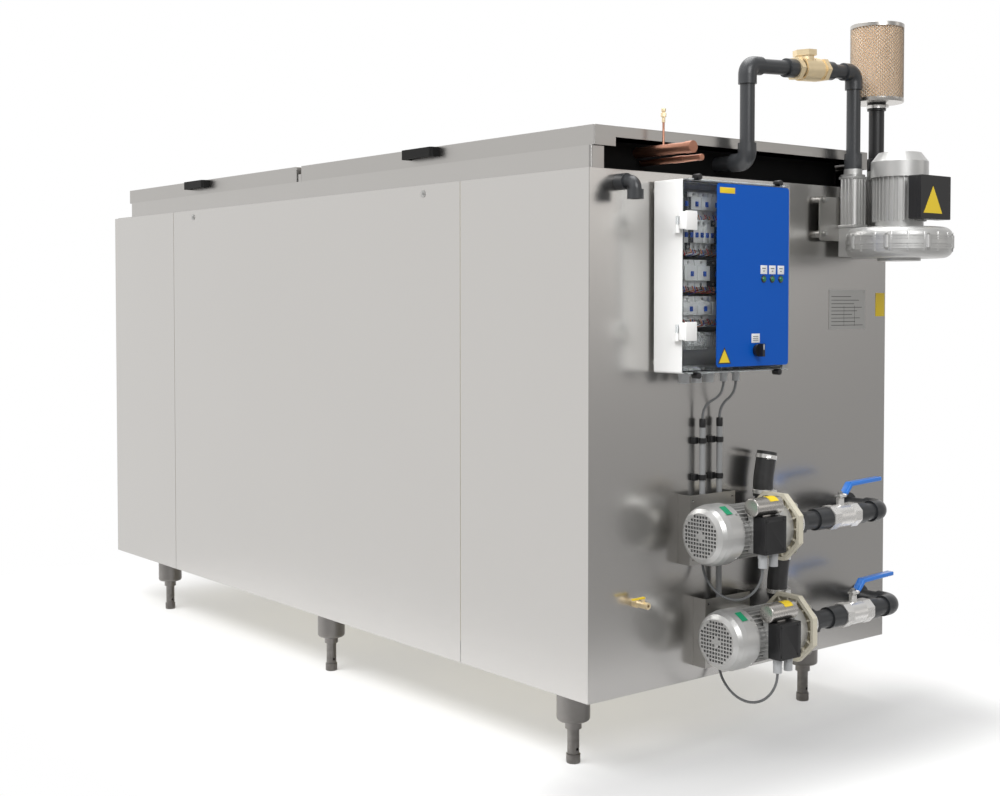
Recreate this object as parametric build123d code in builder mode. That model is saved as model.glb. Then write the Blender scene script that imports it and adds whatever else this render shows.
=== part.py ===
"""Ice-bank water tank that cools milk on a dairy farm.

Insulated stainless tank on six feet, with two hinged lids, evaporator coils inside, and the working
gear on one end: control cabinet, two circulation pumps with ball valves, and an air blower.

While it is drawn, x = 0 is the outer face of the equipment end (+X points away from the tank),
y = 0 is the front face (+Y points to the rear) and z = 0 is the floor. save() moves each finished
piece so that the origin is the middle of the whole machine's footprint.
"""
import os
from math import radians, tan

from build123d import *

# ---------------------------------------------------------------- driving dimensions, millimetres
# cladding, the outer panels
clad_length = 2862
clad_width = 1210
clad_height = 1350
clad_lift = 197           # underside of the panels above the floor
sheet = 1.5
panel_return = 20         # inward fold along a panel's top and bottom
seam_gap = 2
seam_right = 533          # seams of the front, measured from the equipment end
seam_left = 2327

# insulated tank
insulation = 57.5
liner_wall = 2.5
floor_board = 40
frame_height = 60
frame_width = 50
frame_wall = 3

# rim and lids
rim_height = 56
rim_width = 54
rim_inset = 4             # rim face behind the front panel
rim_length = 2707
rim_depth = 1086
rim_wall = 2
post_length = 46          # rim's corner posts at the equipment end, along y
lid_thickness = 51
lid_skin = 1.5
lid_overhang = 8          # past the equipment end
lid_inset = 10            # lid front behind the front panel
lid_depth = 1098
lid_right_length = 1417
lid_left_length = 1302
lid_gap = 29
lid_seat_gap = 0.4
lid_lip = 28              # depth of the short skirt over the pipe slot
slot_margin = 73          # full skirt beside the slot, along y
pan_recess = 14           # underside pan above the skirt's lower edge
handle_length = 150
handle_reach = 30
handle_centres = (-720, -2128)
hinge_pin = 5
hinge_offset = 10         # pin behind the lid's rear skirt
hinge_length = 90
hinge_spread = 0.36       # hinge places as a share of the lid length, each side of its middle

# feet
leg_x = (-140, -1338, -2536)
leg_y = (75, 1007)
sleeve_radius = 44.45
sleeve_wall = 3
sleeve_bottom = 112
collar_radius = 22
collar_height = 20
spindle_radius = 16
spindle_top = 186
pad_radius = 19
pad_height = 24
tommy_hole = 4
running = 0.05            # radial clearance of shafts and spindles

# evaporator coils
coil_banks = 6
coil_runs = 12
coil_tube = 8
coil_pitch = 76
coil_length = 2300
coil_height = 430         # lowest run above the floor
rack_bar = 25
rack_places = (-500, -1430, -2360)

# pipes that leave through the end wall or the slot
suction_copper = 14
liquid_copper = 8
suction_copper_y, suction_copper_z, suction_copper_reach = 218, 1600, 147
liquid_copper_y, liquid_copper_z, liquid_copper_reach = 236, 1574, 160
overflow_radius = 16
overflow_y, overflow_z, overflow_reach, overflow_outlet = 102, 1515, 60, 1469
tap_y, tap_z = 160, 434
tap_radius = 6.5
air_pipe = 20
air_socket = 25

# control cabinet
cabinet_y = (218, 609)
cabinet_z = (1029, 1523)
cabinet_standoff = 10
cabinet_depth = 100
door_depth = 19
cabinet_wall = 3
door_plate_y = (323, 605)
door_plate_z = (1043, 1516)
plate_thickness = 1.5
knob_y, knob_z = 477, 1084
lamp_y = (504, 538, 572)
lamp_z = 1272
door_pin_radius = 4
gland_y = (278, 324, 370, 428, 476)
gland_radius = (15, 15, 15, 11, 11)
gland_drop = 28

# conduits
conduit_radius = 8
conduit_x = 20
conduit_y = (391, 457)
conduit_cap_top = 901
conduit_low = (540, 262)
cable_radius = 3.5

# pumps, drawn about the shaft: x out from the tank, y along the shaft from the fan cover's face
pump_axis_reach = 123
pump_face_y = 275
pump_places = {"upper": (0, 610), "lower": (61, 328)}
motor_radius = 64
fin_height = 8
cover_radius = 80
cover_wall = 2
cover_length = 75
grille_radius = 60
grille_pitch = 10
grille_hole = 6.5
shaft_radius = 8
rotor_core = 30.3
air_gap = 0.7
adapter_flats = 178
adapter_start, adapter_depth = 281, 18
casing_radius = 50
casing_depth = 66
chamber_radius = 39
port_offset = 76
port_height = 92
hose_radius = 27.5
hose_bore = 22.5
hose_length = 76
hose_lean = 16
pvc_radius = 25
pvc_bore = 21
socket_radius = 30
valve_start, valve_length = 507, 121
valve_flats = 64
ball_radius = 26
ball_bore = 19
ball_gap = 0.3
stem_radius = 5
lever_width = 20
elbow_y = 755
bracket_width = 175
bracket_height = 185
bracket_depth = 43
bracket_sheet = 2

# blower
blower_x, blower_y = 174, 1034
blower_low, blower_high = 1336, 1422
blower_radius = 147
impeller_radius = 128
blower_motor_radius = 67
blower_motor_top = 1570
blower_cover_radius = 80
blower_cover_top = 1634
silencer_x = 53
silencer_spacing = 108
silencer_size = 56
silencer_z = (1424, 1578)
air_run_z = (1872, 1846)   # height of the air line at the blower and over the tank
air_drop_y = 524
air_slot_z = 1588
filter_radius = 77
filter_z = (1793, 2020)
check_valve_y = (713, 843)

# ---------------------------------------------------------------- values that follow from those
clad_top = clad_lift + clad_height
frame_bottom = clad_lift + 2
floor_low = frame_bottom + frame_height
liner_low = floor_low + floor_board
liner_x = (-clad_length + 2 + insulation, -2 - insulation)
liner_y = (2 + insulation, clad_width - 2 - insulation)
rim_y = (rim_inset, rim_inset + rim_depth)
rim_top = clad_top + rim_height
lid_low = rim_top + lid_seat_gap
lid_top = lid_low + lid_thickness
lid_y = (lid_inset, lid_inset + lid_depth)
lid_x = {
    "right": (lid_overhang - lid_right_length, lid_overhang),
    "left": (
        lid_overhang - lid_right_length - lid_gap - lid_left_length,
        lid_overhang - lid_right_length - lid_gap,
    ),
}
hinge_y = lid_y[1] + hinge_offset
hinge_z = lid_low + 10
slot_y = (lid_y[0] + slot_margin, rim_y[1] - post_length)
pump_seats = {
    name: Location((pump_axis_reach, pump_face_y + shift, height))
    for name, (shift, height) in pump_places.items()
}
suction_ports = [
    (pump_face_y + shift + elbow_y, height) for shift, height in pump_places.values()
]
wall_ports = [(y, z, pvc_radius) for y, z in suction_ports]
wall_ports += [(overflow_y, overflow_z, overflow_radius), (tap_y, tap_z, tap_radius)]
silencer_y = (blower_y - silencer_spacing / 2, blower_y + silencer_spacing / 2)
end_reach = blower_x + blower_radius + 2
front_reach = handle_reach - lid_inset
to_middle = Location(
    ((clad_length - end_reach) / 2, -(clad_width - front_reach) / 2, 0)
)


# ---------------------------------------------------------------- shared helpers
def block(x, y, z, mode=Mode.ADD):
    """A box between the limits (low, high) on each axis, put into the part being made."""
    middle = ((x[0] + x[1]) / 2, (y[0] + y[1]) / 2, (z[0] + z[1]) / 2)
    with Locations(middle):
        Box(x[1] - x[0], y[1] - y[0], z[1] - z[0], mode=mode)


def rod(start, end, radius, mode=Mode.ADD):
    """A round bar from start to end, put into the part being made."""
    along = Vector(*end) - Vector(*start)
    with Locations(Plane(origin=start, z_dir=along)):
        Cylinder(radius, along.length, align=(Align.CENTER, Align.CENTER, Align.MIN), mode=mode)


def ring(start, end, radius, bore):
    """A round tube from start to end, as a part of its own."""
    with BuildPart() as tube:
        rod(start, end, radius)
        rod(start, end, bore, Mode.SUBTRACT)
    return tube.part


def prism(start, end, across_flats, sides, turn=0.0):
    """A bar of regular polygon section from start to end, as a part of its own."""
    along = Vector(*end) - Vector(*start)
    with BuildPart() as bar:
        with BuildSketch(Plane(origin=start, z_dir=along)):
            RegularPolygon(across_flats / 2, sides, major_radius=False, rotation=turn)
        extrude(amount=along.length)
    return bar.part


def bent_rod(points, radius, bend):
    """A round bar along straight runs joined by tangent arcs, as a part of its own."""
    start = Vector(*points[0])
    with BuildPart() as bar:
        with BuildLine():
            FilletPolyline(*points, radius=bend)
        with BuildSketch(Plane(origin=start, z_dir=Vector(*points[1]) - start)):
            Circle(radius)
        sweep()
    return bar.part


def turned(profile, seat=Location()):
    """A solid turned about the y axis from its (y, radius) outline, as a part of its own."""
    with BuildPart() as piece:
        with BuildSketch(Plane.XY):
            with BuildLine():
                Polyline([(radius, y) for y, radius in profile], close=True)
            make_face()
        revolve(axis=Axis.Y)
    return piece.part.moved(seat)


def both_pumps(piece):
    """The same piece on each pump, put into the part being made."""
    with Locations(*pump_seats.values()):
        add(piece)


def save(piece, name):
    """Put a finished piece in the machine's own frame, label it and write it."""
    placed = piece.part.moved(to_middle)
    placed.label = name
    export_step(placed, f"parts/{name}.step")


os.makedirs("parts", exist_ok=True)

# ---------------------------------------------------------------- base frame and feet
sleeve_places = [(x, y) for x in leg_x for y in leg_y]

with BuildPart() as base_frame:
    tube_z = (frame_bottom, frame_bottom + frame_height)
    half = frame_width / 2
    ends = (-clad_length + 8, -8)
    for y in leg_y:
        block(ends, (y - half, y + half), tube_z)
    for x in leg_x:
        block((x - half, x + half), leg_y, tube_z)
    for x, y in sleeve_places:
        rod((x, y, sleeve_bottom), (x, y, frame_bottom), sleeve_radius)
    fillet(
        base_frame.edges().filter_by(GeomType.CIRCLE).group_by(Axis.Z)[0], radius=10
    )
    for x, y in sleeve_places:
        rod((x, y, sleeve_bottom - collar_height), (x, y, sleeve_bottom), collar_radius)
    inner_z = (tube_z[0] + frame_wall, tube_z[1] - frame_wall)
    inner = half - frame_wall
    for y in leg_y:
        block((ends[0] - 1, ends[1] + 1), (y - inner, y + inner), inner_z, Mode.SUBTRACT)
    for x in leg_x:
        block((x - inner, x + inner), leg_y, inner_z, Mode.SUBTRACT)
    for x, y in sleeve_places:
        hollow = (x, y, sleeve_bottom + collar_height)
        rod(hollow, (x, y, frame_bottom), sleeve_radius - sleeve_wall, Mode.SUBTRACT)
        bore = (x, y, sleeve_bottom - collar_height)
        rod(bore, (x, y, inner_z[1]), spindle_radius + running, Mode.SUBTRACT)
save(base_frame, "base_frame")

for count, (x, y) in enumerate(sleeve_places, start=1):
    with BuildPart() as spindle:
        rod((x, y, pad_height / 2), (x, y, spindle_top), spindle_radius)
        rod((x, y, 0), (x, y, pad_height), pad_radius)
        chamfer(spindle.edges().group_by(Axis.Z)[0], length=2)
        hole_z = pad_height + 14
        reach = spindle_radius + 1
        rod((x - reach, y, hole_z), (x + reach, y, hole_z), tommy_hole, Mode.SUBTRACT)
    save(spindle, f"foot_spindle_{count}")

# ---------------------------------------------------------------- insulation and liner
board_x = (-clad_length + 2, -2)
board_y = (2, clad_width - 2)
board_z = (liner_low, clad_top - sheet)


def wall_holes(x, clearance):
    """Holes through the equipment end wall for the pipes that pass it."""
    for y, z, radius in wall_ports:
        rod((x[0], y, z), (x[1], y, z), radius + clearance, Mode.SUBTRACT)


with BuildPart() as insulation_boards:
    block(board_x, board_y, (floor_low, liner_low))
    block(board_x, (board_y[0], liner_y[0]), board_z)
    block(board_x, (liner_y[1], board_y[1]), board_z)
    block((board_x[0], liner_x[0]), liner_y, board_z)
    block((liner_x[1], board_x[1]), liner_y, board_z)
    block(liner_x, liner_y, (liner_low, clad_top), Mode.SUBTRACT)
    wall_holes((liner_x[1] - 1, 0), 0.2)
save(insulation_boards, "insulation")

with BuildPart() as liner:
    block(liner_x, liner_y, (liner_low, clad_top - sheet))
    inside_x = (liner_x[0] + liner_wall, liner_x[1] - liner_wall)
    inside_y = (liner_y[0] + liner_wall, liner_y[1] - liner_wall)
    inside_low = liner_low + liner_wall
    block(inside_x, inside_y, (inside_low, clad_top), Mode.SUBTRACT)
    wall_holes((inside_x[1] - 1, liner_x[1] + 1), 0.2)
save(liner, "liner")

# ---------------------------------------------------------------- cladding panels
panel_z = (clad_lift, clad_top)


def returns(x, y, side_x=0, side_y=0):
    """Inward folds along the top and the bottom of the panel face that spans x, y."""
    low = (clad_lift, clad_lift + sheet)
    high = (clad_top - sheet, clad_top)
    fold_x = (x[0] + min(side_x, 0) * panel_return, x[1] + max(side_x, 0) * panel_return)
    fold_y = (y[0] + min(side_y, 0) * panel_return, y[1] + max(side_y, 0) * panel_return)
    for z in (low, high):
        block(fold_x, fold_y, z)


with BuildPart() as front_panel:
    span = (-seam_left + seam_gap / 2, -seam_right - seam_gap / 2)
    block(span, (0, sheet), panel_z)
    returns(span, (0, sheet), side_y=1)
save(front_panel, "front_panel")

with BuildPart() as equipment_end_panel:
    span = (-seam_right + seam_gap / 2, 0)
    block(span, (0, sheet), panel_z)
    block((-sheet, 0), (0, clad_width), panel_z)
    returns(span, (0, sheet), side_y=1)
    returns((-sheet, 0), (0, clad_width - sheet - seam_gap), side_x=-1)
    fillet(
        equipment_end_panel.edges().filter_by(Axis.Z).group_by(Axis.X)[-1].sort_by(Axis.Y)[0],
        radius=sheet,
    )
    wall_holes((-sheet - 1, 1), 0.2)
save(equipment_end_panel, "equipment_end_panel")

with BuildPart() as plain_end_panel:
    span = (-clad_length, -seam_left - seam_gap / 2)
    edge = (-clad_length, -clad_length + sheet)
    block(span, (0, sheet), panel_z)
    block(edge, (0, clad_width), panel_z)
    returns(span, (0, sheet), side_y=1)
    returns(edge, (0, clad_width - sheet - seam_gap), side_x=1)
    fillet(
        plain_end_panel.edges().filter_by(Axis.Z).group_by(Axis.X)[0].sort_by(Axis.Y)[0],
        radius=sheet,
    )
save(plain_end_panel, "plain_end_panel")

with BuildPart() as rear_panel:
    span = (-clad_length + sheet + seam_gap, -sheet - seam_gap)
    face = (clad_width - sheet, clad_width)
    block(span, face, panel_z)
    inner_span = (span[0] + panel_return, span[1] - panel_return)
    returns(inner_span, face, side_y=-1)
save(rear_panel, "rear_panel")

screw_places = [(-710, 1522), (-2164, 1522)]
nameplate_y, nameplate_z = (942, 1112), (1131, 1247)

with BuildPart() as panel_fixings:
    for x, z in screw_places:
        rod((x, -1.5, z), (x, 0, z), 11)
        with Locations(Location((x, -1.5, z), (90, 0, 0))):
            Cone(8, 4, 4, align=(Align.CENTER, Align.CENTER, Align.MIN))
    block((0, 1), nameplate_y, nameplate_z)
    for y in nameplate_y:
        for z in nameplate_z:
            inner_y = y + 6 if y == nameplate_y[0] else y - 6
            inner_z = z + 6 if z == nameplate_z[0] else z - 6
            rod((1, inner_y, inner_z), (2.2, inner_y, inner_z), 2.4)
save(panel_fixings, "panel_fixings")

# ---------------------------------------------------------------- rim, slot curtain, cross beam
deck_y = (rim_y[1] - rim_width, clad_width - sheet - panel_return - 1)
deck_x = (-clad_length + sheet + panel_return + 1, -rim_length + rim_width)
rim_low = clad_top + 0.2

with BuildPart() as rim:
    outer = ((-rim_length, 0), rim_y)
    inner = ((-rim_length + rim_width, -rim_width), (rim_y[0] + rim_width, rim_y[1] - rim_width))
    block(*outer, (rim_low, rim_top))
    block((inner[0][0], 1), inner[1], (clad_lift, rim_top + 1), Mode.SUBTRACT)
    block((-rim_width - 1, 1), (rim_y[0] + post_length, slot_y[1]), (rim_low, rim_top), Mode.SUBTRACT)
    fillet(rim.edges().filter_by(Axis.Z).group_by(Axis.X)[-1].sort_by(Axis.Y)[0], radius=8)
    wall = (rim_wall, -rim_wall)
    front_run = (rim_y[0] + wall[0], rim_y[0] + rim_width + wall[1])
    rear_run = (rim_y[1] - rim_width + wall[0], rim_y[1] + wall[1])
    left_run = (-rim_length + wall[0], -rim_length + rim_width + wall[1])
    under = (rim_low - 1, rim_top - rim_wall)
    long_run = (-rim_length + wall[0], -rim_wall - 8)
    block(long_run, front_run, under, Mode.SUBTRACT)
    block(long_run, rear_run, under, Mode.SUBTRACT)
    block(left_run, (front_run[0], rear_run[1]), under, Mode.SUBTRACT)
    deck_z = (rim_low, rim_low + 2)
    block((-rim_length + rim_width, -8), (rim_y[1], deck_y[1]), deck_z)
    block((deck_x[0], -rim_length), (rim_y[0], deck_y[1]), deck_z)
    block((-rim_length, -rim_length + rim_width), (rim_y[1], deck_y[1]), deck_z)
save(rim, "rim")

curtain_x = (-rim_width - 5, -rim_width - 2)
slot_pipes = [
    (suction_copper_y, suction_copper_z, suction_copper),
    (liquid_copper_y, liquid_copper_z, liquid_copper),
    (air_drop_y, air_slot_z, air_pipe),
]

with BuildPart() as slot_curtain:
    rim_gap = (rim_y[0] + rim_width + 1, rim_y[1] - rim_width - 1)
    block(curtain_x, rim_gap, (clad_top, rim_top - 1))
    block(curtain_x, (slot_y[0] + 2, rim_gap[1]), (rim_top - 1, lid_top - lid_lip - 2))
    for y, z, radius in slot_pipes:
        rod((curtain_x[0] - 1, y, z), (curtain_x[1] + 1, y, z), radius + 0.4, Mode.SUBTRACT)
    sill_z = (clad_top + 0.2, clad_top + 2.2)
    block((curtain_x[1], -3), (rim_y[0] + rim_width + 1, rim_gap[1]), sill_z)
save(slot_curtain, "slot_curtain")

beam_middle = (lid_x["right"][0] + lid_x["left"][1]) / 2

with BuildPart() as lid_cross_beam:
    beam = (beam_middle - 40, beam_middle + 40)
    beam_y = (rim_y[0] + rim_width, rim_y[1] - rim_width)
    block(beam, beam_y, (clad_top, rim_top))
    block((beam[0] + 3, beam[1] - 3), beam_y, (clad_top - 1, rim_top - 3), Mode.SUBTRACT)
    block((beam_middle - 9, beam_middle + 9), (lid_y[0] + 4, lid_y[1] - 40), (rim_top, rim_top + 26))
save(lid_cross_beam, "lid_cross_beam")

# ---------------------------------------------------------------- lids
hinge_places = {
    side: [
        (x[0] + x[1]) / 2 + share * (x[1] - x[0]) for share in (-hinge_spread, hinge_spread)
    ]
    for side, x in lid_x.items()
}

for side, handle_middle in zip(("right", "left"), handle_centres):
    x = lid_x[side]
    skin_x = (x[0] + lid_skin, x[1] - lid_skin)
    skin_y = (lid_y[0] + lid_skin, lid_y[1] - lid_skin)
    over_slot = (-rim_width - 8, lid_overhang + 1)
    with BuildPart() as lid:
        block(x, lid_y, (lid_low, lid_top))
        fillet(lid.edges().filter_by(Axis.Z), radius=3)
        fillet(lid.edges().group_by(Axis.Z)[-1], radius=2)
        block(skin_x, skin_y, (lid_low - 1, lid_top - lid_skin), Mode.SUBTRACT)
        pan_x = (skin_x[0] + 0.1, skin_x[1] - 0.1)
        pan_y = (skin_y[0] + 0.1, skin_y[1] - 0.1)
        pan_z = (lid_low + pan_recess, lid_top - lid_skin - 0.1)
        block(pan_x, pan_y, pan_z)
        pan_high = (pan_z[0] + lid_skin, pan_z[1] + 0.05)
        hollow_x = (pan_x[0] + lid_skin, pan_x[1] - lid_skin)
        block(hollow_x, (pan_y[0] + lid_skin, pan_y[1] - lid_skin), pan_high, Mode.SUBTRACT)
        if side == "right":
            block(over_slot, slot_y, (lid_low - 1, lid_top - lid_lip), Mode.SUBTRACT)
        for place in hinge_places[side]:
            knuckle = (place - hinge_length / 2, place)
            block(knuckle, (lid_y[1], hinge_y), (hinge_z - 3, hinge_z + 3))
            rod((knuckle[0], hinge_y, hinge_z), (knuckle[1], hinge_y, hinge_z), hinge_pin + 3)
            bore = (place - hinge_length, hinge_y, hinge_z)
            rod(bore, (place, hinge_y, hinge_z), hinge_pin + running, Mode.SUBTRACT)
    save(lid, f"lid_{side}")

    with BuildPart() as handle:
        half = handle_length / 2
        out = (lid_y[0] - handle_reach, lid_y[0])
        block((handle_middle - half, handle_middle + half), out, (lid_top - 30, lid_top - 3))
        fillet(handle.edges().filter_by(Axis.Z).group_by(Axis.Y)[0], radius=10)
        grip_z = (lid_top - 31, lid_top - 11)
        finger = (handle_middle - half + 18, handle_middle + half - 18)
        block(finger, (out[0] + 9, out[1] + 1), grip_z, Mode.SUBTRACT)
    save(handle, f"lid_{side}_handle")

with BuildPart() as lid_hinges:
    for places in hinge_places.values():
        for place in places:
            knuckle = (place + 0.4, place + hinge_length / 2)
            leaf_z = (rim_low + 2, rim_top - 4)
            block(knuckle, (rim_y[1], rim_y[1] + 4), leaf_z)
            block(knuckle, (rim_y[1], hinge_y + 3), (leaf_z[1] - 4, leaf_z[1]))
            block(knuckle, (hinge_y - 3, hinge_y + 3), (leaf_z[1] - 4, hinge_z))
            rod((knuckle[0], hinge_y, hinge_z), (knuckle[1], hinge_y, hinge_z), hinge_pin + 3)
            pin = (place - hinge_length / 2, hinge_y, hinge_z)
            rod(pin, (knuckle[1], hinge_y, hinge_z), hinge_pin)
save(lid_hinges, "lid_hinges")

# ---------------------------------------------------------------- evaporator coils and their rack
coil_x = (-1430 - coil_length / 2, -1430 + coil_length / 2)
bank_step = (inside_y[1] - inside_y[0]) / coil_banks
bank_y = [inside_y[0] + bank_step * (count + 0.5) for count in range(coil_banks)]
coil_top = coil_height + (coil_runs - 1) * coil_pitch

with BuildPart() as one_coil:
    with BuildLine():
        turn_points = []
        for run in range(coil_runs):
            height = coil_height + run * coil_pitch
            ends = coil_x if run % 2 == 0 else coil_x[::-1]
            turn_points += [(ends[0], 0, height), (ends[1], 0, height)]
        FilletPolyline(*turn_points, radius=coil_pitch / 2 - 0.5)
    with BuildSketch(Plane(origin=turn_points[0], z_dir=(1, 0, 0))):
        Circle(coil_tube)
    sweep()

with BuildPart() as evaporator_coils:
    with Locations(*[(0, y, 0) for y in bank_y]):
        add(one_coil)
save(evaporator_coils, "evaporator_coils")

with BuildPart() as coil_rack:
    rack_y = (bank_y[0] - 30, bank_y[-1] + 30)
    bar_top = coil_height - coil_tube - 0.3
    for x in rack_places:
        across = (x - rack_bar / 2, x + rack_bar / 2)
        block(across, rack_y, (bar_top - rack_bar, bar_top))
        for y in rack_y:
            post = (y - rack_bar / 2, y + rack_bar / 2)
            block(across, post, (inside_low, coil_top + 60))
        block(across, rack_y, (coil_top + 60 - rack_bar, coil_top + 60))
        for y in bank_y:
            hanger = (y - coil_tube - 6.3, y - coil_tube - 0.3)
            block(across, hanger, (bar_top, coil_top + 60 - rack_bar))
save(coil_rack, "coil_rack")

# ---------------------------------------------------------------- copper refrigerant pipes
with BuildPart() as copper_pipes:
    header_x = coil_x[1] + 60
    tail = (header_x, suction_copper_y, coil_top + 30)
    route = [
        tail,
        (header_x, suction_copper_y, suction_copper_z),
        (suction_copper_reach, suction_copper_y, suction_copper_z),
    ]
    add(bent_rod(route, suction_copper, 40))
    cap = (suction_copper_reach - 22, suction_copper_y, suction_copper_z)
    rod(cap, (suction_copper_reach, suction_copper_y, suction_copper_z), suction_copper + 1.5)
    valve_x = 42
    stub = (valve_x, suction_copper_y, suction_copper_z)
    rod(stub, (valve_x, suction_copper_y, suction_copper_z + 70), 3)
    low_route = [
        (header_x + 60, liquid_copper_y, coil_top + 30),
        (header_x + 60, liquid_copper_y, liquid_copper_z),
        (liquid_copper_reach, liquid_copper_y, liquid_copper_z),
    ]
    add(bent_rod(low_route, liquid_copper, 30))
    socket = [(x, liquid_copper_y, liquid_copper_z) for x in (valve_x + 18, valve_x + 58)]
    rod(*socket, liquid_copper + 1)
    base = (valve_x, suction_copper_y, suction_copper_z + 70.1)
    top = (valve_x, suction_copper_y, suction_copper_z + 106)
    rod(base, top, 4.5)
    nut = (valve_x, suction_copper_y, base[2] + 14)
    add(prism(nut, (valve_x, suction_copper_y, base[2] + 24), 13, 6))
    rod((valve_x, suction_copper_y, base[2] + 28), (valve_x, suction_copper_y, base[2] + 35), 6)
save(copper_pipes, "copper_pipes")

# ---------------------------------------------------------------- overflow, tap
with BuildPart() as overflow_elbow:
    inner_end = liner_x[1] - 12
    route = [
        (inner_end, overflow_y, overflow_z),
        (overflow_reach, overflow_y, overflow_z),
        (overflow_reach, overflow_y, overflow_outlet),
    ]
    add(bent_rod(route, overflow_radius, 22))
    rod((0.2, overflow_y, overflow_z), (30, overflow_y, overflow_z), overflow_radius + 5)
    outlet_top = (overflow_reach, overflow_y, overflow_outlet + 24)
    rod(outlet_top, route[2], overflow_radius + 5)
    bore_end = (overflow_reach, overflow_y, overflow_outlet - 5)
    bore_start = (inner_end - 5, overflow_y, overflow_z)
    add(bent_rod([bore_start, route[1], bore_end], overflow_radius - 3, 22), mode=Mode.SUBTRACT)
save(overflow_elbow, "overflow_elbow")

tap_reach = 52
tap_bore = 4
with BuildPart() as level_tap:
    rod((liner_x[1] - 10, tap_y, tap_z), (14, tap_y, tap_z), tap_radius)
    add(prism((0.2, tap_y, tap_z), (12, tap_y, tap_z), 20, 6))
    rod((12, tap_y, tap_z), (tap_reach, tap_y, tap_z), 9)
    rod((32, tap_y, tap_z), (32, tap_y, tap_z + 16), 6)
    rod((liner_x[1] - 11, tap_y, tap_z), (tap_reach + 1, tap_y, tap_z), tap_bore, Mode.SUBTRACT)
    rod((32, tap_y, tap_z), (32, tap_y, tap_z + 17), 3 + running, Mode.SUBTRACT)
save(level_tap, "level_tap")

with BuildPart() as tap_lever:
    rod((32, tap_y, tap_z + 5), (32, tap_y, tap_z + 21), 3)
    block((28, 36), (tap_y - 38, tap_y + 6), (tap_z + 16.5, tap_z + 20))
    fillet(tap_lever.edges().filter_by(Axis.Z), radius=1.5)
save(tap_lever, "tap_lever")

# ---------------------------------------------------------------- air line: silencer to tank floor
low_run_z = inside_low + 62
air_inner_x = -150
socket_arm = 50
air_route = [
    (silencer_x, silencer_y[0], silencer_z[1] + 16),
    (silencer_x, silencer_y[0], air_run_z[0]),
    (silencer_x, air_drop_y, air_run_z[1]),
    (silencer_x, air_drop_y, air_slot_z),
    (air_inner_x, air_drop_y, air_slot_z),
    (air_inner_x, air_drop_y, low_run_z),
]
valve_ends = [
    Vector(*air_route[1]) + (Vector(*air_route[2]) - Vector(*air_route[1])) * share
    for share in [(silencer_y[0] - y) / (silencer_y[0] - air_drop_y) for y in check_valve_y[::-1]]
]


def air_piece(points):
    """A bent air pipe with a socket at both ends of each bend."""
    with BuildPart() as piece:
        add(bent_rod(points, air_pipe, 26))
        for before, corner, after in zip(points, points[1:], points[2:]):
            middle = Vector(*corner)
            arms = [(Vector(*end) - middle).normalized() * socket_arm for end in (before, after)]
            add(bent_rod([middle + arms[0], middle, middle + arms[1]], air_socket, 26))
        add(bent_rod(points, air_pipe - 3, 26), mode=Mode.SUBTRACT)
    return piece.part


with BuildPart() as air_pipes:
    add(air_piece([air_route[0], air_route[1], valve_ends[0]]))
    add(air_piece([valve_ends[1], *air_route[2:]]))
    foot = Vector(*air_route[0])
    add(ring(foot, foot + Vector(0, 0, 44), air_socket, air_pipe))
    for end, way in ((valve_ends[0], 1), (valve_ends[1], -1)):
        along = (valve_ends[0] - valve_ends[1]).normalized() * way
        add(ring(end, end + along * 34, air_socket + 1, air_pipe))
save(air_pipes, "air_pipes")

with BuildPart() as air_grid:
    header_y = (inside_y[0] + 120, inside_y[1] - 120)
    header_low = low_run_z - air_pipe - 4
    rod((air_inner_x, header_y[0], header_low), (air_inner_x, header_y[1], header_low), air_pipe)
    rod((air_inner_x, air_drop_y, header_low), (air_inner_x, air_drop_y, low_run_z - 0.2), air_socket)
    for y in (header_y[0] + 80, air_drop_y, header_y[1] - 80):
        rod((air_inner_x, y, header_low), (coil_x[0], y, header_low), 12)
save(air_grid, "air_grid")

# ---------------------------------------------------------------- check valve on the air line
flow = (valve_ends[1] - valve_ends[0]).normalized()
seat = Plane(origin=valve_ends[0], x_dir=(1, 0, 0), z_dir=flow)
valve_run = (valve_ends[1] - valve_ends[0]).length
flap_along = 56
flap_drop = 23
flap_radius = 19


def along_valve(x, distance, up):
    """A point of the check valve: across, along the flow, and up."""
    return seat.from_local_coords(Vector(x, up, distance))


with BuildPart() as check_valve_body:
    start, end = along_valve(0, 0.2, 0), along_valve(0, valve_run - 0.2, 0)
    rod(start, end, 26)
    add(prism(start, along_valve(0, 17, 0), 58, 6, 30))
    add(prism(along_valve(0, valve_run - 17, 0), end, 58, 6, 30))
    rod(along_valve(0, 34, 0), along_valve(0, valve_run - 26, 0), 33)
    neck = flap_along + 24
    rod(along_valve(0, neck, 0), along_valve(0, neck, 40), 25)
    add(prism(along_valve(0, neck, 36), along_valve(0, neck, 52), 58, 6))
    rod(along_valve(0, -1, 0), along_valve(0, valve_run + 1, 0), 16, Mode.SUBTRACT)
    rod(along_valve(0, flap_along, 0), along_valve(0, neck + 26, 0), 28, Mode.SUBTRACT)
    rod(along_valve(0, neck, 0), along_valve(0, neck, 32), 21, Mode.SUBTRACT)
    pin_at = (flap_along + 6, flap_drop)
    rod(along_valve(-24, *pin_at), along_valve(24, *pin_at), 2 + running, Mode.SUBTRACT)
save(check_valve_body, "check_valve_body")

with BuildPart() as check_valve_flap:
    face = flap_along + 0.3
    rod(along_valve(0, face, 0), along_valve(0, face + 4, 0), flap_radius)
    rod(along_valve(0, face + 3, 0), along_valve(0, face + 18, 0), 10)
    rod(along_valve(-7, *pin_at), along_valve(7, *pin_at), 3.5)
    rod(along_valve(-20, *pin_at), along_valve(20, *pin_at), 2)
    rod(along_valve(0, face + 4, 8), along_valve(0, flap_along + 6, flap_drop), 3)
save(check_valve_flap, "check_valve_flap")

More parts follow.
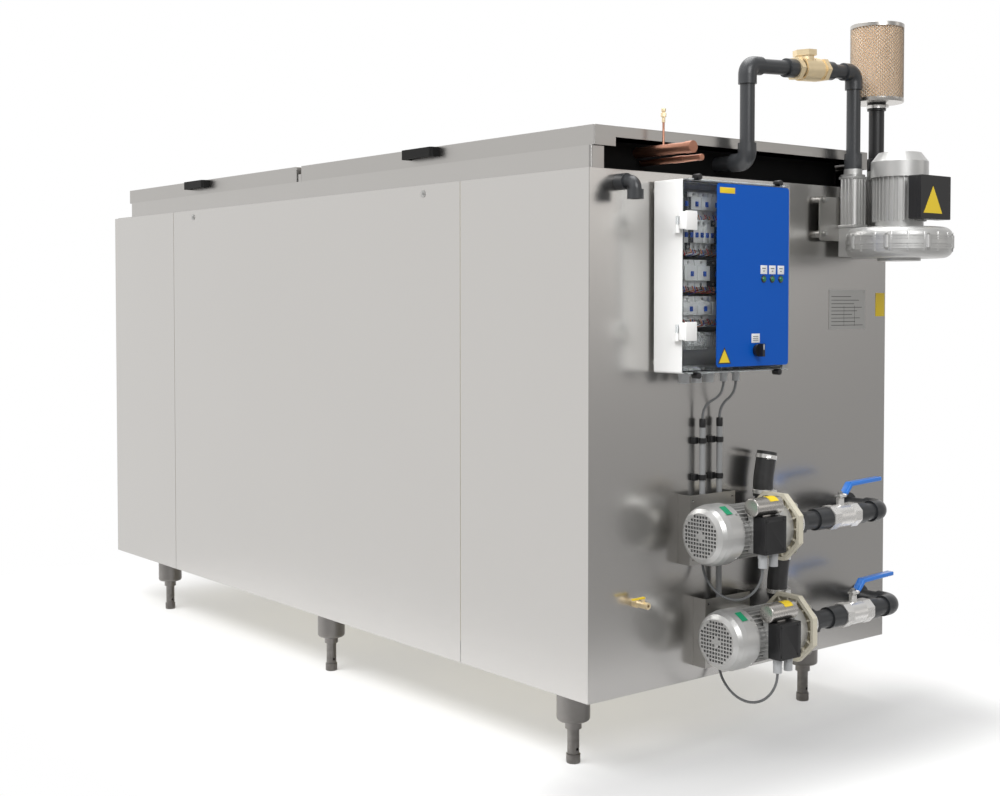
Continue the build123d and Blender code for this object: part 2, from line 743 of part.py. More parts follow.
# ---------------------------------------------------------------- blower
with BuildPart() as silencers:
    for y in silencer_y:
        half = silencer_size / 2
        across_x, across_y = (silencer_x - half, silencer_x + half), (y - half, y + half)
        block(across_x, across_y, (silencer_z[0] + 0.1, silencer_z[1]))
    fillet(silencers.edges().filter_by(Axis.Z), radius=12)
    for y in silencer_y:
        rod((silencer_x, y, silencer_z[1]), (silencer_x, y, silencer_z[1] + 15.8), air_socket + 1)
        bottom = (silencer_x, y, silencer_z[0] + 8)
        rod(bottom, (silencer_x, y, silencer_z[1] + 17), air_pipe, Mode.SUBTRACT)

with BuildPart() as blower_housing:
    middle = (blower_x, blower_y)
    split = (blower_low + blower_high) / 2
    rod((*middle, blower_low), (*middle, blower_high), blower_radius)
    fillet(blower_housing.edges().group_by(Axis.Z)[0], radius=26)
    fillet(blower_housing.edges().group_by(Axis.Z)[-1], radius=26)
    with Locations((*middle, split)):
        Cylinder(blower_radius + 2, 12)
        with PolarLocations(blower_radius - 3, 8, start_angle=22.5):
            Cylinder(9, 34)
    rod((*middle, blower_low - 8), (*middle, blower_low + 2), 60)
    port_x = (silencer_x - silencer_size / 2, blower_x - 90)
    port_y = (silencer_y[0] - silencer_size / 2, silencer_y[1] + silencer_size / 2)
    block(port_x, port_y, (blower_low + 6, silencer_z[0]))
    rod((*middle, blower_low + 10), (*middle, blower_high - 10), impeller_radius + 4, Mode.SUBTRACT)
    rod((*middle, split), (*middle, blower_high + 1), shaft_radius + running, Mode.SUBTRACT)
    add(silencers.part)
save(blower_housing, "blower_housing")

bracket_reach = 868
with BuildPart() as wall_brackets:
    plate_y = (bracket_reach, 2 * blower_y - bracket_reach)
    plate_z = (1387, 1513)
    plate_x = (silencer_x - silencer_size / 2 - 5.2, silencer_x - silencer_size / 2 - 0.2)
    block(plate_x, plate_y, plate_z)
    fillet(wall_brackets.edges().filter_by(Axis.X), radius=12)
    for y in (plate_y[0] + 20, plate_y[1] - 20):
        for z in (plate_z[0] + 20, plate_z[1] - 9):
            rod((0.1, y, z), (plate_x[0], y, z), 11)
            rod((plate_x[1], y, z), (plate_x[1] + 6, y, z), 8)
    for y, z in [(pump_face_y + shift, height) for shift, height in pump_places.values()]:
        span_y = (y + 45, y + 45 + bracket_width)
        span_z = (z - bracket_height / 2, z + bracket_height / 2)
        block((0.1, bracket_depth), span_y, span_z)
        hollow_y = (span_y[0] + bracket_sheet, span_y[1] - bracket_sheet)
        tall = (span_z[0] - 1, span_z[1] + 1)
        block((-1, bracket_depth - bracket_sheet), hollow_y, tall, Mode.SUBTRACT)
        for side in (span_y[0] + 12, span_y[1] - 12):
            for height in (span_z[0] + 14, span_z[1] - 14):
                rod((bracket_depth - 3, side, height), (bracket_depth + 1, side, height), 3, Mode.SUBTRACT)
save(wall_brackets, "wall_brackets")

box_start = blower_x + blower_motor_radius + 10
box_z = (1442, 1563)

with BuildPart() as blower_motor:
    low, high = blower_high + 0.2, blower_motor_top
    rod((*middle, low), (*middle, high), blower_motor_radius)
    with Locations((*middle, (low + high) / 2 + 6)):
        with PolarLocations(blower_motor_radius + 3, 32):
            Box(10, 2.4, high - low - 24)
    block((blower_x + 50, box_start), (blower_y - 40, blower_y + 40), (box_z[0] + 16, box_z[1] - 20))
    rod((*middle, high - 6), (*middle, high), blower_cover_radius - cover_wall - 0.3)
    rod((*middle, low + 20), (*middle, high - 12), rotor_core + air_gap, Mode.SUBTRACT)
    rod((*middle, low - 1), (*middle, high + 1), shaft_radius + running, Mode.SUBTRACT)
save(blower_motor, "blower_motor")

with BuildPart() as blower_rotor:
    rod((*middle, blower_low + 24), (*middle, blower_cover_top - 26), shaft_radius)
    rod((*middle, blower_high + 34), (*middle, blower_motor_top - 30), rotor_core)
    rod((*middle, blower_low + 26), (*middle, blower_high - 24), impeller_radius)
    with Locations((*middle, blower_cover_top - 34)):
        Cylinder(18, 16)
        with PolarLocations(40, 8):
            Box(44, 2.5, 16)
save(blower_rotor, "blower_rotor")

# ---------------------------------------------------------------- control cabinet
box_x = (cabinet_standoff, cabinet_standoff + cabinet_depth)
door_x = (box_x[1] + 0.5, box_x[1] + 0.5 + door_depth)
corner = 5
clip_z = [cabinet_z[0] + 104, cabinet_z[1] - 116]
clip_height = 42
door_pin = (box_x[1] - 8, cabinet_y[0] - 7)

with BuildPart() as cabinet_box:
    block(box_x, cabinet_y, cabinet_z)
    fillet(cabinet_box.edges().filter_by(Axis.X), radius=corner)
    inner = [(low + cabinet_wall, high - cabinet_wall) for low, high in (cabinet_y, cabinet_z)]
    block((box_x[0] + cabinet_wall, box_x[1] + 1), *inner, Mode.SUBTRACT)
    for y in (cabinet_y[0] + 25, cabinet_y[1] - 25):
        for z in (cabinet_z[0] + 25, cabinet_z[1] - 25):
            rod((0.1, y, z), (box_x[0] + 1, y, z), 9)
    for z in clip_z:
        clip = (z - clip_height / 2, z - 1)
        block((door_pin[0] - 16, door_pin[0]), (door_pin[1] - 3, cabinet_y[0]), clip)
        rod((*door_pin, clip[0]), (*door_pin, clip[1]), door_pin_radius + 3)
        rod((*door_pin, clip[0]), (*door_pin, clip[1] + clip_height / 2), door_pin_radius)
    for y, radius in zip(gland_y, gland_radius):
        reach = (box_x[0] + cabinet_depth / 2, y)
        rod((*reach, cabinet_z[0] - 1), (*reach, cabinet_z[0] + 4), radius - 3, Mode.SUBTRACT)
save(cabinet_box, "cabinet_box")

with BuildPart() as cabinet_door:
    block(door_x, cabinet_y, cabinet_z)
    fillet(cabinet_door.edges().filter_by(Axis.X), radius=corner)
    block((door_x[0] - 1, door_x[1] - cabinet_wall), *inner, Mode.SUBTRACT)
    for z in clip_z:
        clip = (z, z + clip_height / 2)
        block((door_pin[0], door_x[1] + 2), (door_pin[1] - 3, cabinet_y[0] - 0.5), clip)
        block((door_x[1], door_x[1] + 2), (door_pin[1] - 3, cabinet_y[0] + 26), clip)
        block((door_x[0] + 2, door_x[1]), (cabinet_y[0] - 1, cabinet_y[0] + 1), clip)
        rod((*door_pin, clip[0]), (*door_pin, clip[1]), door_pin_radius + 3)
        rod((*door_pin, clip[0] - 1), (*door_pin, clip[1] + 1), door_pin_radius + running, Mode.SUBTRACT)
    rod((door_x[1] - 5, knob_y, knob_z), (door_x[1] + 1, knob_y, knob_z), 4 + running, Mode.SUBTRACT)
save(cabinet_door, "cabinet_door")

with BuildPart() as door_fittings:
    plate_x = (door_x[1], door_x[1] + plate_thickness)
    block(plate_x, door_plate_y, door_plate_z)
    fillet(door_fittings.edges().filter_by(Axis.X), radius=10)
    block((plate_x[1], plate_x[1] + 1.5), (knob_y - 20, knob_y + 20), (knob_z - 20, knob_z + 42))
    rod((door_x[1] - 1, knob_y, knob_z), (plate_x[1] + 2, knob_y, knob_z), 4 + running, Mode.SUBTRACT)
    for y in lamp_y:
        rod((plate_x[1], y, lamp_z), (plate_x[1] + 5, y, lamp_z), 8)
        block((plate_x[1], plate_x[1] + 1), (y - 14, y + 14), (lamp_z + 12, lamp_z + 38))
    for y in (cabinet_y[0] + 40, cabinet_y[1] - 40):
        for z in (cabinet_z[0] - 5, cabinet_z[1] + 5):
            rod((door_x[0] + 1, y, z), (door_x[1] + 5, y, z), 5)
save(door_fittings, "door_fittings")

with BuildPart() as switch_knob:
    face = plate_x[1] + 1.8
    rod((door_x[0] - 6, knob_y, knob_z), (face + 4, knob_y, knob_z), 4)
    rod((face, knob_y, knob_z), (face + 9, knob_y, knob_z), 16)
    block((face + 8, face + 24), (knob_y - 4.5, knob_y + 4.5), (knob_z - 16, knob_z + 18))
save(switch_knob, "switch_knob")

rail_z = (1110, 1195, 1285, 1385, 1465)
with BuildPart() as cabinet_devices:
    back = box_x[0] + cabinet_wall
    plate = (back + 6, back + 8)
    block(plate, (inner[0][0] + 12, inner[0][1] - 12), (inner[1][0] + 12, inner[1][1] - 12))
    for y in (inner[0][0] + 30, inner[0][1] - 30):
        for z in (inner[1][0] + 30, inner[1][1] - 30):
            rod((back, y, z), (plate[0], y, z), 6)
    rail_y = (inner[0][0] + 22, inner[0][1] - 22)
    for z in rail_z:
        block((plate[1], plate[1] + 7), rail_y, (z - 17, z + 17))
    for z, width, depth, height, count in (
        (rail_z[4], 36, 50, 60, 6),
        (rail_z[3], 18, 58, 78, 12),
        (rail_z[2], 45, 66, 70, 5),
        (rail_z[1], 52, 60, 62, 5),
        (rail_z[0], 6, 42, 46, 40),
    ):
        for place in range(count):
            y = rail_y[0] + 6 + place * (width + 1)
            span = (y, y + width) if width > 6 else (y, y + width + 0.6)
            block((plate[1] + 7, plate[1] + 7 + depth), span, (z - height / 2, z + height / 2))
save(cabinet_devices, "cabinet_devices")

gland_x = box_x[0] + cabinet_depth / 2

with BuildPart() as conduits:
    for y, low in zip(conduit_y, conduit_low):
        rod((conduit_x, y, low + 24), (conduit_x, y, conduit_cap_top - 24), conduit_radius)
        for cap in (low, conduit_cap_top - 24):
            rod((conduit_x, y, cap), (conduit_x, y, cap + 24), conduit_radius + 1)
        for z in (842, 744):
            block((0.1, conduit_x), (y - 24, y - 6), (z - 9, z + 9))
            rod((conduit_x, y, z - 7), (conduit_x, y, z + 7), conduit_radius + 3)
save(conduits, "conduits")

# ---------------------------------------------------------------- pumps, drawn about their shafts
motor_end = adapter_start - 0.2
foot_x = bracket_depth - pump_axis_reach + 0.2
terminal_x = (motor_radius + fin_height + 1, motor_radius + 49)
terminal_y = (119, 202)
terminal_z = (-47, 48)
pump_gland_y = (138, 180)
pump_gland_low = -84

with BuildPart() as one_motor:
    rod((0, 60, 0), (0, motor_end, 0), motor_radius)
    with Locations(Location((0, 158, 0), (90, 0, 0))):
        with PolarLocations(motor_radius + fin_height / 2 - 0.5, 36):
            Box(fin_height + 1, 2.2, 146)
    rod((0, 60, 0), (0, 84, 0), cover_radius - cover_wall - 0.3)
    rod((0, 240, 0), (0, motor_end, 0), motor_radius + fin_height)
    block((foot_x, 0), (110, 200), (-58, 58))
    block((motor_radius - 8, terminal_x[0]), terminal_y, terminal_z)
    rod((0, 84, 0), (0, 236, 0), rotor_core + air_gap, Mode.SUBTRACT)
    rod((0, 59, 0), (0, motor_end + 1, 0), shaft_radius + running, Mode.SUBTRACT)

with BuildPart() as one_cover:
    outline = [
        (0, 0), (0, grille_radius), (8, 71), (20, 77), (36, cover_radius), (cover_length, cover_radius),
        (cover_length, cover_radius - cover_wall), (36, cover_radius - cover_wall), (20, 75),
        (8, 68), (2.5, 58), (2.5, 0),
    ]
    add(turned(outline))
    half_grid = int(grille_radius / grille_pitch)
    cells = [
        (x * grille_pitch, z * grille_pitch)
        for x in range(-half_grid, half_grid + 1)
        for z in range(-half_grid, half_grid + 1)
        if 14 < (x * x + z * z) ** 0.5 * grille_pitch < grille_radius - 6
    ]
    with BuildSketch(Plane.XZ):
        with Locations(*cells):
            Rectangle(grille_hole, grille_hole)
    extrude(amount=-4, mode=Mode.SUBTRACT)

with BuildPart() as one_terminal_box:
    block((terminal_x[0] + 0.1, terminal_x[1] - 12), terminal_y, terminal_z)
    well = [(low + 3, high - 3) for low, high in (terminal_y, terminal_z)]
    block((terminal_x[0] + 3, terminal_x[1]), *well, Mode.SUBTRACT)
    block((terminal_x[1] - 11.8, terminal_x[1]), terminal_y, terminal_z)
    fillet(one_terminal_box.edges().filter_by(Axis.X), radius=2.5)
    for y in (terminal_y[0] + 9, terminal_y[1] - 9):
        for z in (terminal_z[0] + 9, terminal_z[1] - 9):
            rod((terminal_x[1], y, z), (terminal_x[1] + 2, y, z), 4)

capacitor_x, capacitor_z, capacitor_radius = 77, 73, 24
with BuildPart() as one_capacitor:
    rod((capacitor_x, 106, capacitor_z), (capacitor_x, 207, capacitor_z), capacitor_radius)
    fillet(one_capacitor.edges().filter_by(GeomType.CIRCLE), radius=3)
    saddle_z = (terminal_z[1] + 0.1, capacitor_z - capacitor_radius + 2)
    block((capacitor_x - 4, capacitor_x + 10), (140, 170), saddle_z)

with BuildPart() as one_pump_gland_pair:
    gland_reach = terminal_x[1] - 24
    for y in pump_gland_y:
        top = terminal_z[0] - 0.1
        add(prism((gland_reach, y, top), (gland_reach, y, top - 12), 23, 6))
        rod((gland_reach, y, top - 12), (gland_reach, y, pump_gland_low), 11.5)

with BuildPart() as one_adapter:
    end = adapter_start + adapter_depth
    add(prism((0, adapter_start, 0), (0, end, 0), adapter_flats, 8, 22.5))
    pocket = adapter_flats - 18
    add(prism((0, adapter_start - 1, 0), (0, end - 5, 0), pocket, 8, 22.5), mode=Mode.SUBTRACT)
    rod((0, adapter_start, 0), (0, end, 0), motor_radius - 4)
    with Locations(Location((0, end - 9, 0), (90, 0, 0))):
        with PolarLocations(motor_radius + 8, 16):
            Box(34, 4, 16)
    rod((0, adapter_start - 1, 0), (0, end + 1, 0), 12, Mode.SUBTRACT)

with BuildPart() as one_casing:
    back, front = end + 0.1, end + casing_depth
    rod((0, back, 0), (0, front - 10, 0), casing_radius)
    fillet(one_casing.edges().filter_by(GeomType.CIRCLE).group_by(Axis.Y)[-1], radius=12)
    rod((0, front - 12, 0), (0, front + 10, 0), 34)
    add(prism((0, front + 8, 0), (0, front + 24, 0), 66, 8))
    discharge_y = back + 29.5
    port_corner = (-port_offset, discharge_y, 0)
    rod((-20, discharge_y, 0), port_corner, hose_bore - 0.1)
    rod(port_corner, (-port_offset, discharge_y, port_height), hose_bore - 0.1)
    with Locations(port_corner):
        Sphere(hose_bore - 0.1)
    chamber = (back + 10, front - 18)
    rod((0, chamber[0], 0), (0, chamber[1], 0), chamber_radius, Mode.SUBTRACT)
    rod((0, chamber[1] - 1, 0), (0, front + 25, 0), pvc_bore, Mode.SUBTRACT)
    rod((-20, discharge_y, 0), port_corner, 17, Mode.SUBTRACT)
    rod(port_corner, (-port_offset, discharge_y, port_height + 1), 17, Mode.SUBTRACT)
    with Locations(port_corner):
        Sphere(17, mode=Mode.SUBTRACT)
    rod((0, back - 1, 0), (0, chamber[0] + 1, 0), 12, Mode.SUBTRACT)

for name, seat in pump_seats.items():
    with BuildPart() as rotor:
        rod((0, 16, 0), (0, chamber[0] + 6, 0), shaft_radius)
        rod((0, 108, 0), (0, 206, 0), rotor_core)
        rod((0, 22, 0), (0, 44, 0), 18)
        with Locations(Location((0, 33, 0), (90, 0, 0))):
            with PolarLocations(38, 8):
                Box(42, 2.5, 20)
        rod((0, chamber[0] + 4, 0), (0, chamber[0] + 12, 0), chamber_radius - 4)
        with Locations(Location((0, chamber[0] + 17, 0), (90, 0, 0))):
            with PolarLocations(chamber_radius - 15, 6):
                Box(20, 3, 12)
    rotor.part = rotor.part.moved(seat)
    save(rotor, f"pump_rotor_{name}")

hose_low = port_height - 23
with BuildPart() as one_hose:
    foot = (-port_offset, discharge_y, hose_low)
    knee = (-port_offset, discharge_y, hose_low + 45)
    tip = (-port_offset, discharge_y + hose_lean, hose_low + 45 + hose_length)
    add(bent_rod([foot, knee, tip], hose_radius, 200))
    add(bent_rod([foot, knee, tip], hose_bore, 200), mode=Mode.SUBTRACT)

with BuildPart() as one_clamp:
    low = (-port_offset, discharge_y, hose_low + 8)
    high = (-port_offset, discharge_y, hose_low + 19)
    add(ring(low, high, hose_radius + 1.4, hose_radius + 0.1))
    with Locations((-port_offset + hose_radius + 7, discharge_y, hose_low + 13.5)):
        Box(12, 22, 11)

valve_end = valve_start + valve_length
front = adapter_start + adapter_depth + casing_depth
with BuildPart() as one_suction_line:
    rod((0, front + 24.2, 0), (0, valve_start, 0), pvc_radius)
    rod((0, valve_start - 56, 0), (0, valve_start - 0.1, 0), socket_radius)
    rod((0, front + 23, 0), (0, valve_start + 1, 0), pvc_bore, Mode.SUBTRACT)
    to_wall = [(0, valve_end + 0.1, 0), (0, elbow_y, 0), (-pump_axis_reach - 66, elbow_y, 0)]
    with BuildPart(mode=Mode.PRIVATE) as wall_leg:
        add(bent_rod(to_wall, pvc_radius, 34))
        rod(to_wall[0], (0, valve_end + 38, 0), socket_radius)
        add(bent_rod([(0, elbow_y - 52, 0), to_wall[1], (-52, elbow_y, 0)], socket_radius, 34))
        rod((-pump_axis_reach + 0.2, elbow_y, 0), (-pump_axis_reach + 9, elbow_y, 0), 38)
        add(bent_rod(to_wall, pvc_bore, 34), mode=Mode.SUBTRACT)
    add(wall_leg.part)

stem_y = valve_start + valve_length / 2
with BuildPart() as one_valve:
    rod((0, valve_start, 0), (0, valve_end, 0), 32)
    for low in (valve_start, valve_end - 30):
        add(prism((0, low, 0), (0, low + 30, 0), valve_flats, 8, 22.5))
    rod((0, stem_y, 20), (0, stem_y, 50), 11)
    rod((0, valve_start - 1, 0), (0, valve_end + 1, 0), ball_bore, Mode.SUBTRACT)
    with Locations((0, stem_y, 0)):
        Sphere(ball_radius + ball_gap, mode=Mode.SUBTRACT)
    rod((0, stem_y, 20), (0, stem_y, 51), stem_radius + running, Mode.SUBTRACT)

for name, seat in pump_seats.items():
    with BuildPart() as lever:
        with Locations((0, stem_y, 0)):
            Sphere(ball_radius)
        rod((0, stem_y - 40, 0), (0, stem_y + 40, 0), ball_bore, Mode.SUBTRACT)
        rod((0, stem_y, ball_radius - 3), (0, stem_y, 64), stem_radius)
        with BuildSketch(Plane.YZ.offset(-lever_width / 2)):
            with BuildLine():
                Polyline(
                    (stem_y - 12, 53), (stem_y + 14, 53), (stem_y + 42, 83), (stem_y + 174, 88),
                    (stem_y + 174, 96), (stem_y + 38, 91), (stem_y + 10, 58), (stem_y - 12, 58),
                    close=True,
                )
            make_face()
        extrude(amount=lever_width)
        add(prism((0, stem_y, 58), (0, stem_y, 63), 17, 6))
    lever.part = lever.part.moved(seat)
    save(lever, f"valve_lever_{name}")

pump_groups = {
    "pump_motors": one_motor,
    "motor_adapters": one_adapter,
    "pump_casings": one_casing,
    "suction_lines": one_suction_line,
    "valve_bodies": one_valve,
}
for name, piece in pump_groups.items():
    with BuildPart() as group:
        both_pumps(piece.part)
    save(group, name)

with BuildPart() as discharge_hoses:
    both_pumps(one_hose.part)
    both_pumps(one_clamp.part)
save(discharge_hoses, "discharge_hoses")

with BuildPart() as cable_glands:
    for y, radius in zip(gland_y, gland_radius):
        low = cabinet_z[0] - gland_drop
        rod((gland_x, y, cabinet_z[0] + 10), (gland_x, y, cabinet_z[0] - 0.1), radius - 3.1)
        add(prism((gland_x, y, cabinet_z[0] - 0.1), (gland_x, y, cabinet_z[0] - 10), 2 * radius - 1, 6))
        rod((gland_x, y, cabinet_z[0] - 10), (gland_x, y, low), radius - 1)
    both_pumps(one_pump_gland_pair.part)
save(cable_glands, "cable_glands")

# ---------------------------------------------------------------- blower's upper parts
with BuildPart() as blower_cover:
    with BuildSketch(Plane.XZ):
        with BuildLine():
            low, high = blower_motor_top - 6, blower_cover_top
            wide, wall = blower_cover_radius, cover_wall
            Polyline(
                (wide, low), (wide, high - 26), (wide - 20, high), (0, high), (0, high - wall),
                (wide - 20 - wall, high - wall), (wide - wall, high - 26 - wall), (wide - wall, low),
                close=True,
            )
        make_face()
    revolve(axis=Axis.Z)
    with BuildSketch(Plane.XY.offset(high - 4)):
        with PolarLocations(34, 18):
            Rectangle(36, 4)
    extrude(amount=6, mode=Mode.SUBTRACT)
blower_cover.part = blower_cover.part.moved(Location((blower_x, blower_y, 0)))

with BuildPart() as fan_covers:
    both_pumps(one_cover.part)
    add(blower_cover.part)
save(fan_covers, "fan_covers")

with BuildPart() as blower_terminal_box:
    box_span = (box_start + 0.1, blower_x + 118)
    side = (blower_y - 66, blower_y + 74)
    well = [(low + 3, high - 3) for low, high in (side, box_z)]
    block((box_span[0], box_span[1] - 14), side, box_z)
    block((box_span[0] + 4, box_span[1]), *well, Mode.SUBTRACT)
    block((box_span[1] - 13.8, box_span[1]), side, box_z)
    fillet(blower_terminal_box.edges().filter_by(Axis.X), radius=3)

with BuildPart() as terminal_boxes:
    both_pumps(one_terminal_box.part)
    both_pumps(one_capacitor.part)
    add(blower_terminal_box.part)
save(terminal_boxes, "terminal_boxes")

with BuildPart() as air_filter:
    at = (silencer_x, silencer_y[1])
    foot = (*at, silencer_z[1] + 16)
    neck = (*at, filter_z[0] - 22)
    rod((*at, filter_z[0]), (*at, filter_z[1]), filter_radius)
    rod((*at, filter_z[0] + 8), (*at, filter_z[1] - 8), 46, Mode.SUBTRACT)
    rod(neck, (*at, filter_z[0] + 1), air_socket + 2)
    rod(foot, neck, air_pipe + 2)
    rod(foot, (*at, foot[2] + 36), air_socket + 1)
    rod(foot, (*at, filter_z[0] + 9), air_pipe - 2, Mode.SUBTRACT)
save(air_filter, "air_filter")

# ---------------------------------------------------------------- cables
cable_routes = {
    "cabinet_cable_1": [
        (60, 428, 1001), (60, 428, 986), (52.5, 421, 961), (27.5, 398, 941), (20, 391, 916),
        (20, 391, 901),
    ],
    "cabinet_cable_2": [
        (60, 476, 1001), (60, 476, 986), (50.8, 471.6, 961), (29.2, 461.4, 941), (20, 457, 916),
        (20, 457, 901),
    ],
    "pump_cable_upper": [
        (212, 413, 526), (212, 413, 500), (186, 410, 456), (142, 405, 430), (90, 399, 430),
        (46, 394, 456), (20, 391, 500), (20, 391, 540),
    ],
    "pump_cable_lower": [
        (212, 474, 244), (212, 474, 218), (186, 471, 174), (142, 468, 148), (90, 464, 148),
        (46, 460, 174), (20, 457, 218), (20, 457, 262),
    ],
}

for name, route in cable_routes.items():
    points = [Vector(*point) for point in route]
    bends = []
    for before, corner, after in zip(points, points[1:], points[2:]):
        half_turn = radians((corner - before).get_angle(after - corner)) / 2
        shorter = min((corner - before).length, (after - corner).length)
        bends.append(0.45 * shorter / tan(half_turn))
    with BuildPart() as one_cable:
        with BuildLine() as course:
            FilletPolyline(*points, radius=bends)
        with BuildSketch(Plane(origin=points[0], z_dir=points[1] - points[0])):
            Circle(cable_radius)
        sweep()
    length = sum(edge.length for edge in course.edges())
    print(name, "bend radii", [round(bend, 1) for bend in bends], "length", round(length, 1))
    save(one_cable, name)
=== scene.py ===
"""Looks of the farm's ice water tank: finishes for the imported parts, and the small pieces on them.

Lengths are written in millimetres from the tank's own corner: x from the equipment end's face,
y from the front panel's face and z from the floor. at() turns them into the frame's metres.
"""
import math

import bmesh
import bpy
from mathutils import Matrix, Vector


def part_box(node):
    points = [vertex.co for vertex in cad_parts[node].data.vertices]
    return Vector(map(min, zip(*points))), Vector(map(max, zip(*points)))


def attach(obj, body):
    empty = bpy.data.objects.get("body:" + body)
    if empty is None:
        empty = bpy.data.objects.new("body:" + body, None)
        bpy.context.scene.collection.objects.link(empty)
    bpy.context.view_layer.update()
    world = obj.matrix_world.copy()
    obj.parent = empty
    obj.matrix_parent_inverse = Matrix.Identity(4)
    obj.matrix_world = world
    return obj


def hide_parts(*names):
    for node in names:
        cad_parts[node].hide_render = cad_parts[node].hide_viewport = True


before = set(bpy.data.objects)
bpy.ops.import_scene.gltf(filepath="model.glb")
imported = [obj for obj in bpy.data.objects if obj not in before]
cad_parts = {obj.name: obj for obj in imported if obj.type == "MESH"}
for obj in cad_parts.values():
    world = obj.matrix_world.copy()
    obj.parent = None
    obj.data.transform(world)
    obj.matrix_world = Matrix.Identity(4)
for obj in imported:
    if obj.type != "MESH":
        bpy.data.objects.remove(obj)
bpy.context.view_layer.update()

END_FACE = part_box("equipment_end_panel")[1].x
FRONT_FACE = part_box("front_panel")[0].y
MM = 0.001


def at(x, y, z):
    """A place in the frame's metres, from millimetres off the tank's corner."""
    return Vector((END_FACE + x * MM, FRONT_FACE + y * MM, z * MM))


# ------------------------------------------------------------------ camera
def make_camera():
    """A view of the equipment end and the front, from a little above the lids' height."""
    data = bpy.data.cameras.new("camera")
    data.lens, data.sensor_width = 50.9, 36
    data.shift_x, data.shift_y = -0.0027, -0.0498
    camera = bpy.data.objects.new("camera", data)
    camera.location = at(2618, -2376, 1213)
    camera.rotation_euler = (math.radians(88.1), 0, math.radians(51.26))
    bpy.context.collection.objects.link(camera)
    bpy.context.scene.camera = camera


make_camera()


# ------------------------------------------------------------------ shader node groups
def new_group(name, inputs, outputs):
    """An empty node group with typed sockets; returns the group, its input and its output node."""
    group = bpy.data.node_groups.new(name, "ShaderNodeTree")
    for label, kind, value in inputs:
        socket = group.interface.new_socket(label, in_out="INPUT", socket_type="NodeSocket" + kind)
        if value is not None:
            socket.default_value = value
    for label, kind in outputs:
        group.interface.new_socket(label, in_out="OUTPUT", socket_type="NodeSocket" + kind)
    return group, group.nodes.new("NodeGroupInput"), group.nodes.new("NodeGroupOutput")


def math_node(tree, operation, a, b, clamp=False):
    """A Math node; a and b are sockets or numbers."""
    node = tree.nodes.new("ShaderNodeMath")
    node.operation, node.use_clamp = operation, clamp
    for socket, value in zip(node.inputs, (a, b)):
        if isinstance(value, (int, float)):
            socket.default_value = value
        else:
            tree.links.new(value, socket)
    return node.outputs[0]


def blend_colours(tree, factor, first, second, blend="MIX"):
    """A colour Mix node; the colours are sockets or RGBA tuples."""
    node = tree.nodes.new("ShaderNodeMix")
    node.data_type, node.blend_type = "RGBA", blend
    for socket, value in zip((node.inputs[0], node.inputs[6], node.inputs[7]), (factor, first, second)):
        if isinstance(value, (int, float, tuple)):
            socket.default_value = value
        else:
            tree.links.new(value, socket)
    return node.outputs[2]


def make_mottle():
    """Uneven colour and gloss with a fine grain; Stretch draws the grain out along an axis."""
    group, given, out = new_group(
        "mottle",
        [
            ("Colour", "Color", (0.8, 0.8, 0.8, 1)),
            ("Stain", "Color", (0.5, 0.5, 0.5, 1)),
            ("Patch Size", "Float", 3.0),
            ("Patch Amount", "Float", 0.2),
            ("Grain Size", "Float", 400.0),
            ("Grain Amount", "Float", 0.1),
            ("Stretch", "Vector", (1, 1, 1)),
            ("Smoothest", "Float", 0.3),
            ("Roughest", "Float", 0.5),
        ],
        [("Colour", "Color"), ("Roughness", "Float"), ("Height", "Float")],
    )
    links = group.links
    place = group.nodes.new("ShaderNodeTexCoord")
    patches = group.nodes.new("ShaderNodeTexNoise")
    patches.inputs["Detail"].default_value = 5
    links.new(place.outputs["Object"], patches.inputs["Vector"])
    links.new(given.outputs["Patch Size"], patches.inputs["Scale"])
    drawn = group.nodes.new("ShaderNodeVectorMath")
    drawn.operation = "MULTIPLY"
    links.new(place.outputs["Object"], drawn.inputs[0])
    links.new(given.outputs["Stretch"], drawn.inputs[1])
    grain = group.nodes.new("ShaderNodeTexNoise")
    grain.inputs["Detail"].default_value = 2
    links.new(drawn.outputs[0], grain.inputs["Vector"])
    links.new(given.outputs["Grain Size"], grain.inputs["Scale"])
    patch = math_node(group, "MULTIPLY", patches.outputs[0], given.outputs["Patch Amount"], True)
    speck = math_node(group, "MULTIPLY", grain.outputs[0], given.outputs["Grain Amount"], True)
    both = math_node(group, "ADD", patch, speck, True)
    colour = blend_colours(group, both, given.outputs["Colour"], given.outputs["Stain"])
    spread = math_node(group, "SUBTRACT", given.outputs["Roughest"], given.outputs["Smoothest"])
    mixed = math_node(group, "ADD", patches.outputs[0], grain.outputs[0])
    rough = math_node(group, "MULTIPLY", math_node(group, "MULTIPLY", mixed, 0.5), spread)
    links.new(colour, out.inputs["Colour"])
    links.new(math_node(group, "ADD", given.outputs["Smoothest"], rough), out.inputs["Roughness"])
    links.new(grain.outputs[0], out.inputs["Height"])
    return group


